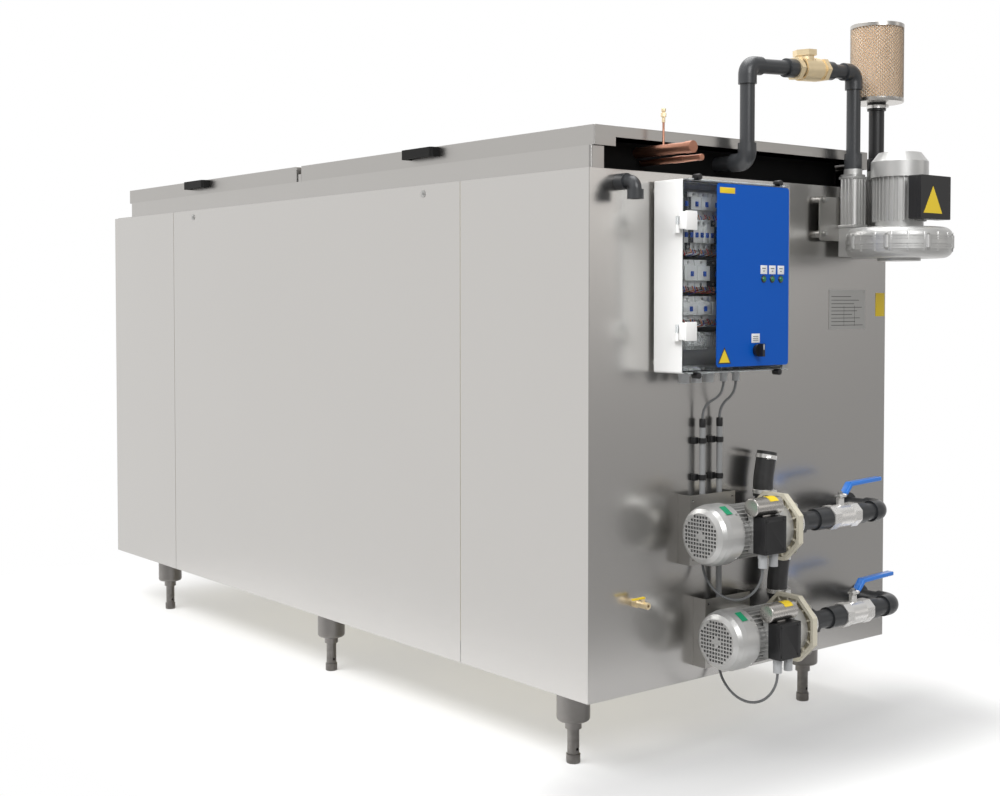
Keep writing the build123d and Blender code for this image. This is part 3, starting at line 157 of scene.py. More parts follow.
def make_floor_dirt():
    """Darkens a colour towards the floor, as dirt splashed up from below does."""
    group, given, out = new_group(
        "floor_dirt",
        [
            ("Colour", "Color", (0.8, 0.8, 0.8, 1)),
            ("Dirt", "Color", (0.1, 0.09, 0.08, 1)),
            ("Height", "Float", 0.3),
            ("Amount", "Float", 0.5),
        ],
        [("Colour", "Color")],
    )
    place = group.nodes.new("ShaderNodeTexCoord")
    split = group.nodes.new("ShaderNodeSeparateXYZ")
    group.links.new(place.outputs["Object"], split.inputs[0])
    share = math_node(group, "DIVIDE", split.outputs["Z"], given.outputs["Height"], True)
    low = math_node(group, "SUBTRACT", 1.0, share, True)
    spots = group.nodes.new("ShaderNodeTexNoise")
    spots.inputs["Scale"].default_value = 60
    spots.inputs["Detail"].default_value = 6
    group.links.new(place.outputs["Object"], spots.inputs["Vector"])
    factor = math_node(group, "MULTIPLY", math_node(group, "MULTIPLY", low, spots.outputs[0]), given.outputs["Amount"])
    group.links.new(blend_colours(group, factor, given.outputs["Colour"], given.outputs["Dirt"]), out.inputs["Colour"])
    return group


MOTTLE = make_mottle()
FLOOR_DIRT = make_floor_dirt()


def finish_of(name, colour, stain=None, metallic=0.0, rough=(0.3, 0.5), patch=(4.0, 0.15),
              grain=(500.0, 0.1), stretch=(1, 1, 1), bump=0.0, dirt=0.0, **plain):
    """A material on the mottle group; plain sets sockets of the Principled shader by name."""
    material = bpy.data.materials.new(name)
    material.use_nodes = True
    tree = material.node_tree
    shader = tree.nodes["Principled BSDF"]
    shader.inputs["Metallic"].default_value = metallic
    for label, value in plain.items():
        shader.inputs[label.replace("_", " ").title().replace("Ior", "IOR")].default_value = value
    mottle = tree.nodes.new("ShaderNodeGroup")
    mottle.node_tree = MOTTLE
    mottle.inputs["Colour"].default_value = (*colour, 1)
    mottle.inputs["Stain"].default_value = (*(stain or [0.6 * part for part in colour]), 1)
    mottle.inputs["Patch Size"].default_value, mottle.inputs["Patch Amount"].default_value = patch
    mottle.inputs["Grain Size"].default_value, mottle.inputs["Grain Amount"].default_value = grain
    mottle.inputs["Stretch"].default_value = stretch
    mottle.inputs["Smoothest"].default_value, mottle.inputs["Roughest"].default_value = rough
    painted = mottle.outputs["Colour"]
    if dirt:
        splash = tree.nodes.new("ShaderNodeGroup")
        splash.node_tree = FLOOR_DIRT
        splash.inputs["Amount"].default_value = dirt
        tree.links.new(painted, splash.inputs["Colour"])
        painted = splash.outputs["Colour"]
    tree.links.new(painted, shader.inputs["Base Color"])
    tree.links.new(mottle.outputs["Roughness"], shader.inputs["Roughness"])
    if bump:
        relief = tree.nodes.new("ShaderNodeBump")
        relief.inputs["Strength"].default_value = bump
        relief.inputs["Distance"].default_value = 0.0002
        tree.links.new(mottle.outputs["Height"], relief.inputs["Height"])
        tree.links.new(relief.outputs[0], shader.inputs["Normal"])
    return material


ALONG_X, UPRIGHT = (0.03, 1, 1), (1, 1, 0.03)
FINISH = {
    "panel_steel": finish_of("panel_steel", (0.58, 0.57, 0.555), metallic=1.0, rough=(0.2, 0.28),
                             patch=(1.5, 0.06), grain=(700, 0.06), stretch=UPRIGHT, bump=0.04),
    "lid_steel": finish_of("lid_steel", (0.46, 0.45, 0.435), metallic=1.0, rough=(0.27, 0.36),
                           patch=(2, 0.08), grain=(800, 0.08), stretch=ALONG_X, bump=0.05),
    "tank_steel": finish_of("tank_steel", (0.50, 0.49, 0.475), metallic=1.0, rough=(0.25, 0.38),
                            patch=(3, 0.1), grain=(600, 0.1), bump=0.05, dirt=0.25),
    "bracket_steel": finish_of("bracket_steel", (0.50, 0.49, 0.47), metallic=1.0, rough=(0.25, 0.4),
                               patch=(20, 0.2), grain=(900, 0.15), stretch=ALONG_X, bump=0.1),
    "frame_steel": finish_of("frame_steel", (0.27, 0.26, 0.25), metallic=1.0, rough=(0.3, 0.42),
                             patch=(3, 0.1), grain=(600, 0.1), bump=0.05, dirt=0.5),
    "foot_steel": finish_of("foot_steel", (0.30, 0.29, 0.28), metallic=1.0, rough=(0.25, 0.45),
                            patch=(30, 0.3), grain=(700, 0.2), dirt=0.9),
    "foam": finish_of("foam", (0.75, 0.68, 0.45), rough=(0.8, 0.95), grain=(300, 0.3), bump=0.6),
    # painted shade: the slot's black rubber sheet is made near-black and almost unreflective so that it reads as the
    # shade in the slot under the lid
    "curtain": finish_of("curtain", (0.003, 0.003, 0.003), rough=(0.6, 0.8), grain=(500, 0.3), bump=0.2,
                         specular_ior_level=0.1),
    "coil": finish_of("coil", (0.33, 0.34, 0.35), metallic=1.0, rough=(0.3, 0.5), patch=(12, 0.3)),
    "copper": finish_of("copper", (0.66, 0.34, 0.23), (0.30, 0.13, 0.09), metallic=1.0,
                        rough=(0.22, 0.5), patch=(28, 0.75), grain=(300, 0.2), bump=0.1),
    "pvc": finish_of("pvc", (0.034, 0.036, 0.039), rough=(0.25, 0.42), patch=(14, 0.3),
                     grain=(900, 0.1), bump=0.06),
    "grey_plastic": finish_of("grey_plastic", (0.42, 0.43, 0.44), rough=(0.35, 0.5)),
    "brass": finish_of("brass", (0.93, 0.78, 0.52), (0.70, 0.55, 0.33), metallic=0.75, rough=(0.35, 0.5),
                       patch=(40, 0.4), grain=(1200, 0.3), bump=0.3),
    "cast_alloy": finish_of("cast_alloy", (0.62, 0.62, 0.61), metallic=0.75, rough=(0.33, 0.5),
                            patch=(25, 0.15), grain=(1400, 0.3), bump=0.35),
    "silver_paint": finish_of("silver_paint", (0.60, 0.60, 0.59), metallic=0.7, rough=(0.3, 0.42),
                              patch=(12, 0.12), grain=(1800, 0.15), bump=0.15),
    "rotor_steel": finish_of("rotor_steel", (0.30, 0.30, 0.31), metallic=1.0, rough=(0.3, 0.45)),
    "black_plastic": finish_of("black_plastic", (0.014, 0.014, 0.015), rough=(0.28, 0.42),
                               patch=(30, 0.2), grain=(1500, 0.3), bump=0.15),
    "hose": finish_of("hose", (0.014, 0.014, 0.015), (0.045, 0.045, 0.045), rough=(0.18, 0.5),
                      patch=(70, 0.7), grain=(900, 0.4), bump=0.3),
    "black_rubber": finish_of("black_rubber", (0.018, 0.018, 0.019), rough=(0.5, 0.7),
                              patch=(30, 0.3), grain=(1200, 0.3), bump=0.3),
    "cable_grey": finish_of("cable_grey", (0.16, 0.165, 0.17), rough=(0.4, 0.55), grain=(800, 0.2)),
    "conduit_grey": finish_of("conduit_grey", (0.30, 0.305, 0.31), rough=(0.35, 0.5), grain=(800, 0.1)),
    "cabinet_white": finish_of("cabinet_white", (0.88, 0.88, 0.87), rough=(0.35, 0.5),
                               patch=(5, 0.06), grain=(1600, 0.1), bump=0.1),
    "label_blue": finish_of("label_blue", (0.0004, 0.088, 0.46), (0.0003, 0.07, 0.38), rough=(0.35, 0.45),
                            patch=(6, 0.1), grain=(1200, 0.08), specular_ior_level=0.2),
    "label_white": finish_of("label_white", (0.78, 0.79, 0.80), rough=(0.3, 0.4)),
    "handle_black": finish_of("handle_black", (0.007, 0.007, 0.007), rough=(0.5, 0.65),
                              grain=(1500, 0.3), bump=0.15, specular_ior_level=0.2),
    "label_yellow": finish_of("label_yellow", (0.83, 0.60, 0.02), rough=(0.3, 0.4), patch=(20, 0.1)),
    "label_green": finish_of("label_green", (0.005, 0.26, 0.12), rough=(0.3, 0.4), patch=(40, 0.2)),
    "label_ink": finish_of("label_ink", (0.03, 0.03, 0.03), rough=(0.4, 0.5)),
    "plate_metal": finish_of("plate_metal", (0.50, 0.50, 0.49), metallic=0.9, rough=(0.25, 0.4),
                             patch=(8, 0.1), grain=(1200, 0.2), stretch=(1, 0.05, 1)),
    "cream": finish_of("cream", (0.66, 0.62, 0.50), (0.45, 0.42, 0.34), rough=(0.35, 0.5),
                       patch=(14, 0.25), grain=(900, 0.15), bump=0.1),
    "casing": finish_of("casing", (0.035, 0.035, 0.038), rough=(0.3, 0.45), patch=(20, 0.2), bump=0.1),
    "polished": finish_of("polished", (0.92, 0.91, 0.89), metallic=0.8, rough=(0.2, 0.36),
                          patch=(20, 0.15), grain=(900, 0.1)),
    "lever_blue": finish_of("lever_blue", (0.02, 0.20, 0.72), rough=(0.25, 0.35), patch=(12, 0.1),
                            coat_weight=0.3, coat_roughness=0.2),
    "lamp_green": finish_of("lamp_green", (0.01, 0.16, 0.05), rough=(0.1, 0.2), coat_weight=0.5),
    "paper": finish_of("paper", (0.86, 0.69, 0.50), (0.68, 0.51, 0.34), rough=(0.75, 0.9),
                       patch=(14, 0.3), grain=(600, 0.3), bump=0.2),
    "mesh_metal": finish_of("mesh_metal", (0.62, 0.60, 0.57), metallic=1.0, rough=(0.2, 0.35)),
    "device_white": finish_of("device_white", (0.62, 0.62, 0.61), rough=(0.35, 0.5)),
    "device_dark": finish_of("device_dark", (0.05, 0.055, 0.06), rough=(0.35, 0.5)),
    "wire_red": finish_of("wire_red", (0.42, 0.02, 0.02), rough=(0.35, 0.45)),
    "wire_blue": finish_of("wire_blue", (0.02, 0.08, 0.40), rough=(0.35, 0.45)),
    "wire_orange": finish_of("wire_orange", (0.60, 0.17, 0.03), rough=(0.35, 0.45)),
    "wire_black": finish_of("wire_black", (0.02, 0.02, 0.02), rough=(0.35, 0.45)),
}


def make_window():
    """Clear polycarbonate of the cabinet's door."""
    material = finish_of("window", (0.92, 0.94, 0.95), (0.85, 0.88, 0.9), rough=(0.02, 0.06),
                         transmission_weight=1.0, ior=1.15)
    return material


FINISH["window"] = make_window()

NODE_FINISH = {
    "panel_steel": ["front_panel", "plain_end_panel", "rear_panel", "equipment_end_panel"],
    "frame_steel": ["base_frame"],
    "lid_steel": ["lid_right", "lid_left"],
    "tank_steel": ["liner", "rim", "lid_cross_beam", "lid_hinges"],
    "bracket_steel": ["wall_brackets"],
    "foot_steel": [f"foot_spindle_{count}" for count in range(1, 7)],
    "foam": ["insulation"],
    "plate_metal": ["panel_fixings"],
    # painted shade: the slot's sheet takes the near-black finish that stands for the shade in the slot
    "curtain": ["slot_curtain"],
    "coil": ["evaporator_coils", "coil_rack"],
    "pvc": ["air_pipes", "overflow_elbow", "suction_lines"],
    "grey_plastic": ["air_grid", "cable_glands"],
    "brass": ["check_valve_body", "check_valve_flap", "level_tap"],
    "cast_alloy": ["blower_housing", "blower_motor", "blower_rotor"],
    "silver_paint": ["fan_covers", "pump_motors"],
    "rotor_steel": ["pump_rotor_upper", "pump_rotor_lower"],
    "cabinet_white": ["cabinet_box"],
    "window": ["cabinet_door"],
    "black_plastic": ["switch_knob"],
    "handle_black": ["lid_right_handle", "lid_left_handle"],
    "cream": ["motor_adapters"],
    "casing": ["pump_casings"],
    "polished": ["valve_bodies", "valve_lever_upper", "valve_lever_lower"],
    "label_yellow": ["tap_lever"],
}
for finish, nodes in NODE_FINISH.items():
    for node in nodes:
        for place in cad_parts[node].material_slots:
            place.material = FINISH[finish]


# ------------------------------------------------------------------ making pieces
def add_piece(name, bm, finish, body="tank", instead=(), smooth=True, bevel=0.0):
    """Turns a bmesh into a piece that rides on a body."""
    mesh = bpy.data.meshes.new(name)
    bm.to_mesh(mesh)
    bm.free()
    piece = bpy.data.objects.new(name, mesh)
    bpy.context.collection.objects.link(piece)
    mesh.materials.append(FINISH[finish])
    if smooth:
        mesh.shade_smooth()
        mesh.set_sharp_from_angle(angle=math.radians(32))
    if bevel:
        edge = piece.modifiers.new("soft edges", "BEVEL")
        edge.width, edge.segments, edge.limit_method = bevel * MM, 2, "ANGLE"
        edge.angle_limit = math.radians(40)
    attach(piece, body)
    if instead:
        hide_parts(*instead)
    return piece


def put_slab(bm, x, y, z, soft=0.0, segments=2):
    """A box between limits in millimetres, with its edges rounded by soft."""
    low, high = at(x[0], y[0], z[0]), at(x[1], y[1], z[1])
    made = bmesh.ops.create_cube(bm, size=1.0)["verts"]
    bmesh.ops.scale(bm, verts=made, vec=high - low)
    bmesh.ops.translate(bm, verts=made, vec=(low + high) / 2)
    if soft:
        edges = list({edge for vertex in made for edge in vertex.link_edges})
        bmesh.ops.bevel(bm, geom=edges, offset=soft * MM, segments=segments, profile=0.5,
                        affect="EDGES", material=-1)


def put_bar(bm, start, end, radius, tip=None, sides=32, soft=0.0):
    """A round or many-sided bar between two places in metres; radii in millimetres."""
    way = end - start
    turn = way.to_track_quat("Z", "Y").to_matrix().to_4x4()
    place = Matrix.Translation((start + end) / 2) @ turn
    made = bmesh.ops.create_cone(
        bm, cap_ends=True, segments=sides, radius1=radius * MM,
        radius2=(radius if tip is None else tip) * MM, depth=way.length, matrix=place,
    )["verts"]
    if soft:
        faces = {face for vertex in made for face in vertex.link_faces if len(face.verts) > 4}
        rims = list({edge for face in faces for edge in face.edges})
        bmesh.ops.bevel(bm, geom=rims, offset=soft * MM, segments=2, profile=0.5, affect="EDGES",
                        material=-1)


def put_turned(bm, foot, way, outline, steps=48):
    """A closed ring or solid spun from (distance, radius) points in millimetres about a line."""
    way = way.normalized()
    side = way.orthogonal().normalized()
    points = [foot + way * distance * MM + side * radius * MM for distance, radius in outline]
    vertices = [bm.verts.new(point) for point in points]
    edges = [bm.edges.new(pair) for pair in zip(vertices, vertices[1:] + vertices[:1])]
    bmesh.ops.spin(bm, geom=vertices + edges, cent=foot, axis=way, angle=math.tau, steps=steps,
                   use_merge=True)
    bmesh.ops.remove_doubles(bm, verts=bm.verts[:], dist=1e-6)
    bmesh.ops.recalc_face_normals(bm, faces=bm.faces[:])


def put_bolt(bm, foot, way, flats=10, height=6):
    """A hexagon screw head on a washer."""
    way = way.normalized()
    put_bar(bm, foot, foot + way * 1.4 * MM, flats * 0.85, sides=20)
    head = foot + way * 1.4 * MM
    put_bar(bm, head, head + way * height * MM, flats / 1.732, sides=6, soft=0.5)


def islands_of(node):
    """The separate solids of a CAD node, each as (bmesh, lowest corner, highest corner)."""
    whole = bmesh.new()
    whole.from_mesh(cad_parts[node].data)
    bmesh.ops.remove_doubles(whole, verts=whole.verts[:], dist=1e-6)
    left = set(whole.verts)
    found = []
    while left:
        stack = [left.pop()]
        group = {stack[0]}
        while stack:
            for edge in stack.pop().link_edges:
                for vertex in edge.verts:
                    if vertex in left:
                        left.discard(vertex)
                        group.add(vertex)
                        stack.append(vertex)
        found.append(group)
    parts = []
    for group in found:
        part = whole.copy()
        whole.verts.ensure_lookup_table()
        whole.verts.index_update()
        part.verts.ensure_lookup_table()
        keep = {vertex.index for vertex in group}
        bmesh.ops.delete(part, geom=[v for v in part.verts if v.index not in keep], context="VERTS")
        bmesh.ops.dissolve_limit(part, angle_limit=math.radians(1), verts=part.verts[:],
                                 edges=part.edges[:])
        corners = [vertex.co for vertex in part.verts]
        low = Vector([min(corner[axis] for corner in corners) for axis in range(3)])
        high = Vector([max(corner[axis] for corner in corners) for axis in range(3)])
        parts.append((part, low, high))
    whole.free()
    return parts


def split_node(node, name, choose, body="tank"):
    """Stands every solid of a CAD node as a piece of its own; choose(low, high) gives its
    (finish, slot), and the slot is not used."""
    for count, (part, low, high) in enumerate(islands_of(node), start=1):
        finish, slot = choose(low, high)
        add_piece(f"{name}_{count}", part, finish, body, instead=[node], bevel=0.4)


# ------------------------------------------------------------------ cables
CABLE_ROUTES = {
    "cabinet_cable_1": [
        (60, 428, 1001), (60, 428, 986), (52.5, 421, 961), (27.5, 398, 941), (20, 391, 916),
        (20, 391, 901),
    ],
    "cabinet_cable_2": [
        (60, 476, 1001), (60, 476, 986), (50.8, 471.6, 961), (29.2, 461.4, 941), (20, 457, 916),
        (20, 457, 901),
    ],
    "pump_cable_upper": [
        (212, 413, 526), (212, 413, 500), (186, 410, 456), (142, 405, 430), (90, 399, 430),
        (46, 394, 456), (20, 391, 500), (20, 391, 540),
    ],
    "pump_cable_lower": [
        (212, 474, 244), (212, 474, 218), (186, 471, 174), (142, 468, 148), (90, 464, 148),
        (46, 460, 174), (20, 457, 218), (20, 457, 262),
    ],
}
CABLE_DIAMETER = 0.007


def make_cables():
    """Four grey cables, each on a smooth curve through its route."""
    for node, route in CABLE_ROUTES.items():
        data = bpy.data.curves.new(node + "_sheath", "CURVE")
        data.dimensions, data.bevel_depth, data.bevel_resolution = "3D", CABLE_DIAMETER / 2, 6
        data.use_fill_caps, data.resolution_u = True, 16
        line = data.splines.new("NURBS")
        line.points.add(len(route) - 1)
        for point, place in zip(line.points, route):
            point.co = (*at(*place), 1)
        line.order_u = 3
        line.use_endpoint_u = True
        sheath = bpy.data.objects.new(node + "_sheath", data)
        bpy.context.collection.objects.link(sheath)
        data.materials.append(FINISH["cable_grey"])
        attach(sheath, "tank")
        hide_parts(node)


make_cables()


# ------------------------------------------------------------------ pump places
PUMP_AXIS = 123
PUMPS = {"upper": (275, 610), "lower": (336, 328)}


def on_pump(name, x, y, z):
    """A place about a pump's shaft: x outwards, y along the shaft from the fan cover, z up."""
    face, height = PUMPS[name]
    return at(PUMP_AXIS + x, face + y, height + z)


OUT, REAR, UP = Vector((1, 0, 0)), Vector((0, 1, 0)), Vector((0, 0, 1))


# ------------------------------------------------------------------ split nodes
def split_mixed_nodes():
    """Gives each solid of the nodes that hold several materials its own finish."""
    upper_z = PUMPS["upper"][1] * MM
    lower_z = PUMPS["lower"][1] * MM

    def of_boxes(low, high):
        middle = (low.z + high.z) / 2
        is_capacitor = any(0.06 < middle - height < 0.09 for height in (upper_z, lower_z))
        return ("mesh_metal", "cast_alloy") if is_capacitor else ("black_plastic", "box_black")

    split_node("terminal_boxes", "terminal_box_part", of_boxes)

    def of_hoses(low, high):
        is_clamp = high.z - low.z < 0.03
        return ("polished", "valve_steel") if is_clamp else ("hose", "black_rubber")

    split_node("discharge_hoses", "hose_part", of_hoses)

    def of_copper(low, high):
        is_valve = high.x - low.x < 0.05
        return ("brass", "brass") if is_valve else ("copper", "copper")

    split_node("copper_pipes", "copper_part", of_copper)


split_mixed_nodes()


# ------------------------------------------------------------------ control cabinet
BOX_X, BOX_Y, BOX_Z = (10, 110), (218, 609), (1029, 1523)
DOOR_FRONT = 129.5
PLATE_FRONT = DOOR_FRONT + 1.5
PLATE_Y, PLATE_Z = (323, 605), (1043, 1516)
KNOB_Y, KNOB_Z = 477, 1084
LAMP_Y, LAMP_Z = (504, 538, 572), 1272


def put_rounded_plate(bm, x, y, z, radius):
    """A plate facing along x with rounded corners."""
    put_slab(bm, x, y, z)
    bm.edges.ensure_lookup_table()
    corners = [edge for edge in bm.edges if abs((edge.verts[0].co - edge.verts[1].co).normalized().x) > 0.9]
    bmesh.ops.bevel(bm, geom=corners, offset=radius * MM, segments=6, profile=0.5, affect="EDGES",
                    material=-1)


def put_triangle(bm, foot, depth, radius):
    """A thin upright triangle on a face that looks out of the machine's end."""
    corners = [foot + Vector((0, math.sin(turn), math.cos(turn))) * radius * MM
               for turn in (0, math.tau / 3, 2 * math.tau / 3)]
    low = [bm.verts.new(corner) for corner in corners]
    top = [bm.verts.new(corner + OUT * depth * MM) for corner in corners]
    bm.faces.new(low)
    bm.faces.new(top)
    for first in range(3):
        second = (first + 1) % 3
        bm.faces.new([low[first], low[second], top[second], top[first]])
    bmesh.ops.recalc_face_normals(bm, faces=bm.faces[:])


def make_door_front():
    """The blue plate with its lamps, legends and screws, which all ride on the door."""
    bm = bmesh.new()
    put_rounded_plate(bm, (DOOR_FRONT, PLATE_FRONT), PLATE_Y, PLATE_Z, 10)
    add_piece("door_plate", bm, "label_blue", "cabinet_door", instead=["door_fittings"],
              bevel=0.3)

    bm = bmesh.new()
    for y in (BOX_Y[0] + 40, BOX_Y[1] - 40):
        for z in (BOX_Z[0] - 5, BOX_Z[1] + 5):
            put_bar(bm, at(111.5, y, z), at(134, y, z), 8, sides=24, soft=1)
    add_piece("door_screws", bm, "black_plastic", "cabinet_door")

    bm = bmesh.new()
    for y in LAMP_Y:
        put_turned(bm, at(PLATE_FRONT, y, LAMP_Z), OUT,
                   [(0, 0), (0, 10), (1.2, 9.8), (2.5, 8.2), (2.5, 0)])
    add_piece("lamp_bezels", bm, "black_plastic", "cabinet_door")

    bm = bmesh.new()
    for y in LAMP_Y:
        put_turned(bm, at(PLATE_FRONT + 2.5, y, LAMP_Z), OUT,
                   [(0, 0), (0, 7), (1.2, 6.2), (2.2, 4), (2.6, 0)])
    add_piece("lamp_lenses", bm, "lamp_green", "cabinet_door")

    bm = bmesh.new()
    for y in LAMP_Y:
        put_slab(bm, (PLATE_FRONT, PLATE_FRONT + 0.8), (y - 13, y + 13), (LAMP_Z + 13, LAMP_Z + 36), 0.2)
    put_slab(bm, (PLATE_FRONT, PLATE_FRONT + 0.8), (KNOB_Y - 20, KNOB_Y + 12), (KNOB_Z + 20, KNOB_Z + 44), 0.2)
    add_piece("legend_plates", bm, "label_white", "cabinet_door")

    bm = bmesh.new()
    for y in LAMP_Y:
        put_slab(bm, (PLATE_FRONT + 0.8, PLATE_FRONT + 1.0), (y - 3, y + 3), (LAMP_Z + 20, LAMP_Z + 22))
        put_slab(bm, (PLATE_FRONT + 0.8, PLATE_FRONT + 1.0), (y - 7, y + 7), (LAMP_Z + 27, LAMP_Z + 29))
    for height in (26, 31, 36):
        put_slab(bm, (PLATE_FRONT + 0.8, PLATE_FRONT + 1.0), (KNOB_Y - 15, KNOB_Y + 6),
                 (KNOB_Z + height, KNOB_Z + height + 1.5))
    add_piece("legend_lines", bm, "label_ink", "cabinet_door")

    bm = bmesh.new()
    put_slab(bm, (PLATE_FRONT, PLATE_FRONT + 0.6), (333, 390), (1491, 1506), 0.15)
    add_piece("plate_label", bm, "label_yellow", "cabinet_door")

    foot = at(PLATE_FRONT, 353, 1066)
    for name, depth, radius, finish, slot in (
        ("plate_mark_edge", 0.4, 29, "label_ink", "knob_black"),
        ("plate_mark", 0.7, 23, "label_yellow", "tap_yellow"),
    ):
        bm = bmesh.new()
        put_triangle(bm, foot, depth, radius)
        add_piece(name, bm, finish, "cabinet_door")

    bm = bmesh.new()
    put_slab(bm, (PLATE_FRONT + 25.5, PLATE_FRONT + 26.2), (KNOB_Y - 1.2, KNOB_Y + 1.2),
             (KNOB_Z + 2, KNOB_Z + 16), 0.2)
    add_piece("knob_line", bm, "label_white", "switch_knob")


def make_cabinet_rim():
    """Hinge clips of white plastic on the cabinet's front corner, and the door's seal."""
    bm = bmesh.new()
    for z in (BOX_Z[0] + 84, BOX_Z[1] - 130):
        put_slab(bm, (129.6, 135), (207, 247), (z, z + 48), 1.2)
        put_slab(bm, (112, 130), (205, 213), (z + 2, z + 46), 1.2)
    add_piece("door_clip_fronts", bm, "cabinet_white", "cabinet_door")
    bm = bmesh.new()
    edge, inside = 108.6, 4
    for y in (BOX_Y[0] + inside, BOX_Y[1] - inside - 3):
        put_slab(bm, (edge - 2, edge), (y, y + 3), (BOX_Z[0] + 8, BOX_Z[1] - 8), 0.5)
    for z in (BOX_Z[0] + inside, BOX_Z[1] - inside - 3):
        put_slab(bm, (edge - 2, edge), (BOX_Y[0] + 8, BOX_Y[1] - 8), (z, z + 3), 0.5)
    add_piece("cabinet_seal", bm, "black_rubber", "tank")


DEVICE_ROWS = [
    (1465, 60, 36, 50, 6), (1385, 78, 18, 58, 12), (1285, 70, 45, 66, 5), (1195, 62, 52, 60, 5),
    (1110, 46, 7, 42, 34),
]


def make_cabinet_inside():
    """Mounting plate, rails, switchgear, slotted ducts and wires behind the clear door."""
    back, rail = 19, 28
    row_y = (BOX_Y[0] + 25, BOX_Y[1] - 25)
    bm = bmesh.new()
    put_slab(bm, (back, back + 2), (BOX_Y[0] + 15, BOX_Y[1] - 15), (BOX_Z[0] + 15, BOX_Z[1] - 15), 0.4)
    for z, *_ in DEVICE_ROWS:
        put_slab(bm, (back + 2, rail), row_y, (z - 17, z + 17), 0.6)
    add_piece("mounting_plate", bm, "plate_metal", "tank", instead=["cabinet_devices"])

    pale, dark, levers, marks = bmesh.new(), bmesh.new(), bmesh.new(), bmesh.new()
    for row, (z, height, width, depth, count) in enumerate(DEVICE_ROWS):
        for place in range(count):
            low = row_y[0] + 3 + place * (width + 1.2)
            span, half = (low, low + width), height / 2
            chosen = dark if (place * 7 + row * 3) % 5 == 0 and width > 10 else pale
            put_slab(chosen, (rail, rail + depth - 12), span, (z - half, z + half), 0.8)
            put_slab(chosen, (rail + depth - 12, rail + depth), span, (z - half * 0.55, z + half * 0.55), 0.8)
            middle = (span[0] + span[1]) / 2
            if width > 10:
                put_slab(levers, (rail + depth, rail + depth + 5), (middle - 4, middle + 4), (z - 8, z + 5), 0.8)
                for side in (-1, 1):
                    foot = at(rail + depth - 12, middle, z + side * half * 0.8)
                    put_bar(marks, foot, foot + OUT * 1.5 * MM, 3.4, sides=12)
    add_piece("switchgear_pale", pale, "device_white", "tank", bevel=0)
    add_piece("switchgear_dark", dark, "device_dark", "tank", bevel=0)
    add_piece("switchgear_levers", levers, "wire_blue", "tank")
    add_piece("terminal_screws", marks, "plate_metal", "tank")

    bm = bmesh.new()
    for low in (1424, 1332, 1238, 1146):
        for place in range(44):
            y = row_y[0] + place * 7.6
            put_slab(bm, (back + 2, back + 42), (y, y + 5), (low, low + 2))
            put_slab(bm, (back + 2, back + 42), (y, y + 5), (low + 18, low + 20))
        put_slab(bm, (back + 42, back + 44), row_y, (low, low + 20), 0.5)
    add_piece("wire_ducts", bm, "device_white", "tank")

    kinds = ["wire_blue", "wire_red", "wire_black", "wire_orange"]
    for kind_at, kind in enumerate(kinds):
        bm = bmesh.new()
        for row, (z, height, width, depth, count) in enumerate(DEVICE_ROWS[:-1]):
            for place in range(kind_at, 30, 4):
                y = row_y[0] + 6 + place * 10.4
                out = rail + depth - 10 - (place % 3) * 3
                drop = z - height / 2 - 6 - (place * 5 + row * 3) % 9
                route = [at(out, y, z - height / 2 + 3), at(out + 6, y + 1, drop),
                         at(back + 36, y + 3 - place % 4, drop - 5)]
                for start, end in zip(route, route[1:]):
                    put_bar(bm, start, end, 1.1, sides=8)
        add_piece(kind.replace("wire", "wires"), bm, kind, "tank")


make_door_front()
make_cabinet_rim()
make_cabinet_inside()


# ------------------------------------------------------------------ conduits
def make_conduits():
    """Two grey conduits with black end caps and wall clips."""
    tubes, caps = bmesh.new(), bmesh.new()
    for y, low in ((391, 540), (457, 262)):
        put_bar(tubes, at(20, y, low + 22), at(20, y, 901 - 22), 8)
        for foot in (low, 901 - 24):
            outline = [(0, 4.2), (0, 8), (3, 9), (21, 9), (24, 8), (24, 4.2)]
            put_turned(caps, at(20, y, foot), UP, outline, 32)
        for z in (744, 842):
            put_turned(caps, at(20, y, z - 7), UP, [(0, 8.05), (0, 11), (14, 11), (14, 8.05)], 32)
            put_slab(caps, (0.2, 12), (y - 24, y - 7), (z - 9, z + 9), 1.2)
    add_piece("conduit_tubes", tubes, "conduit_grey", "tank", instead=["conduits"])
    add_piece("conduit_caps", caps, "black_plastic", "tank", instead=["conduits"])


make_conduits()


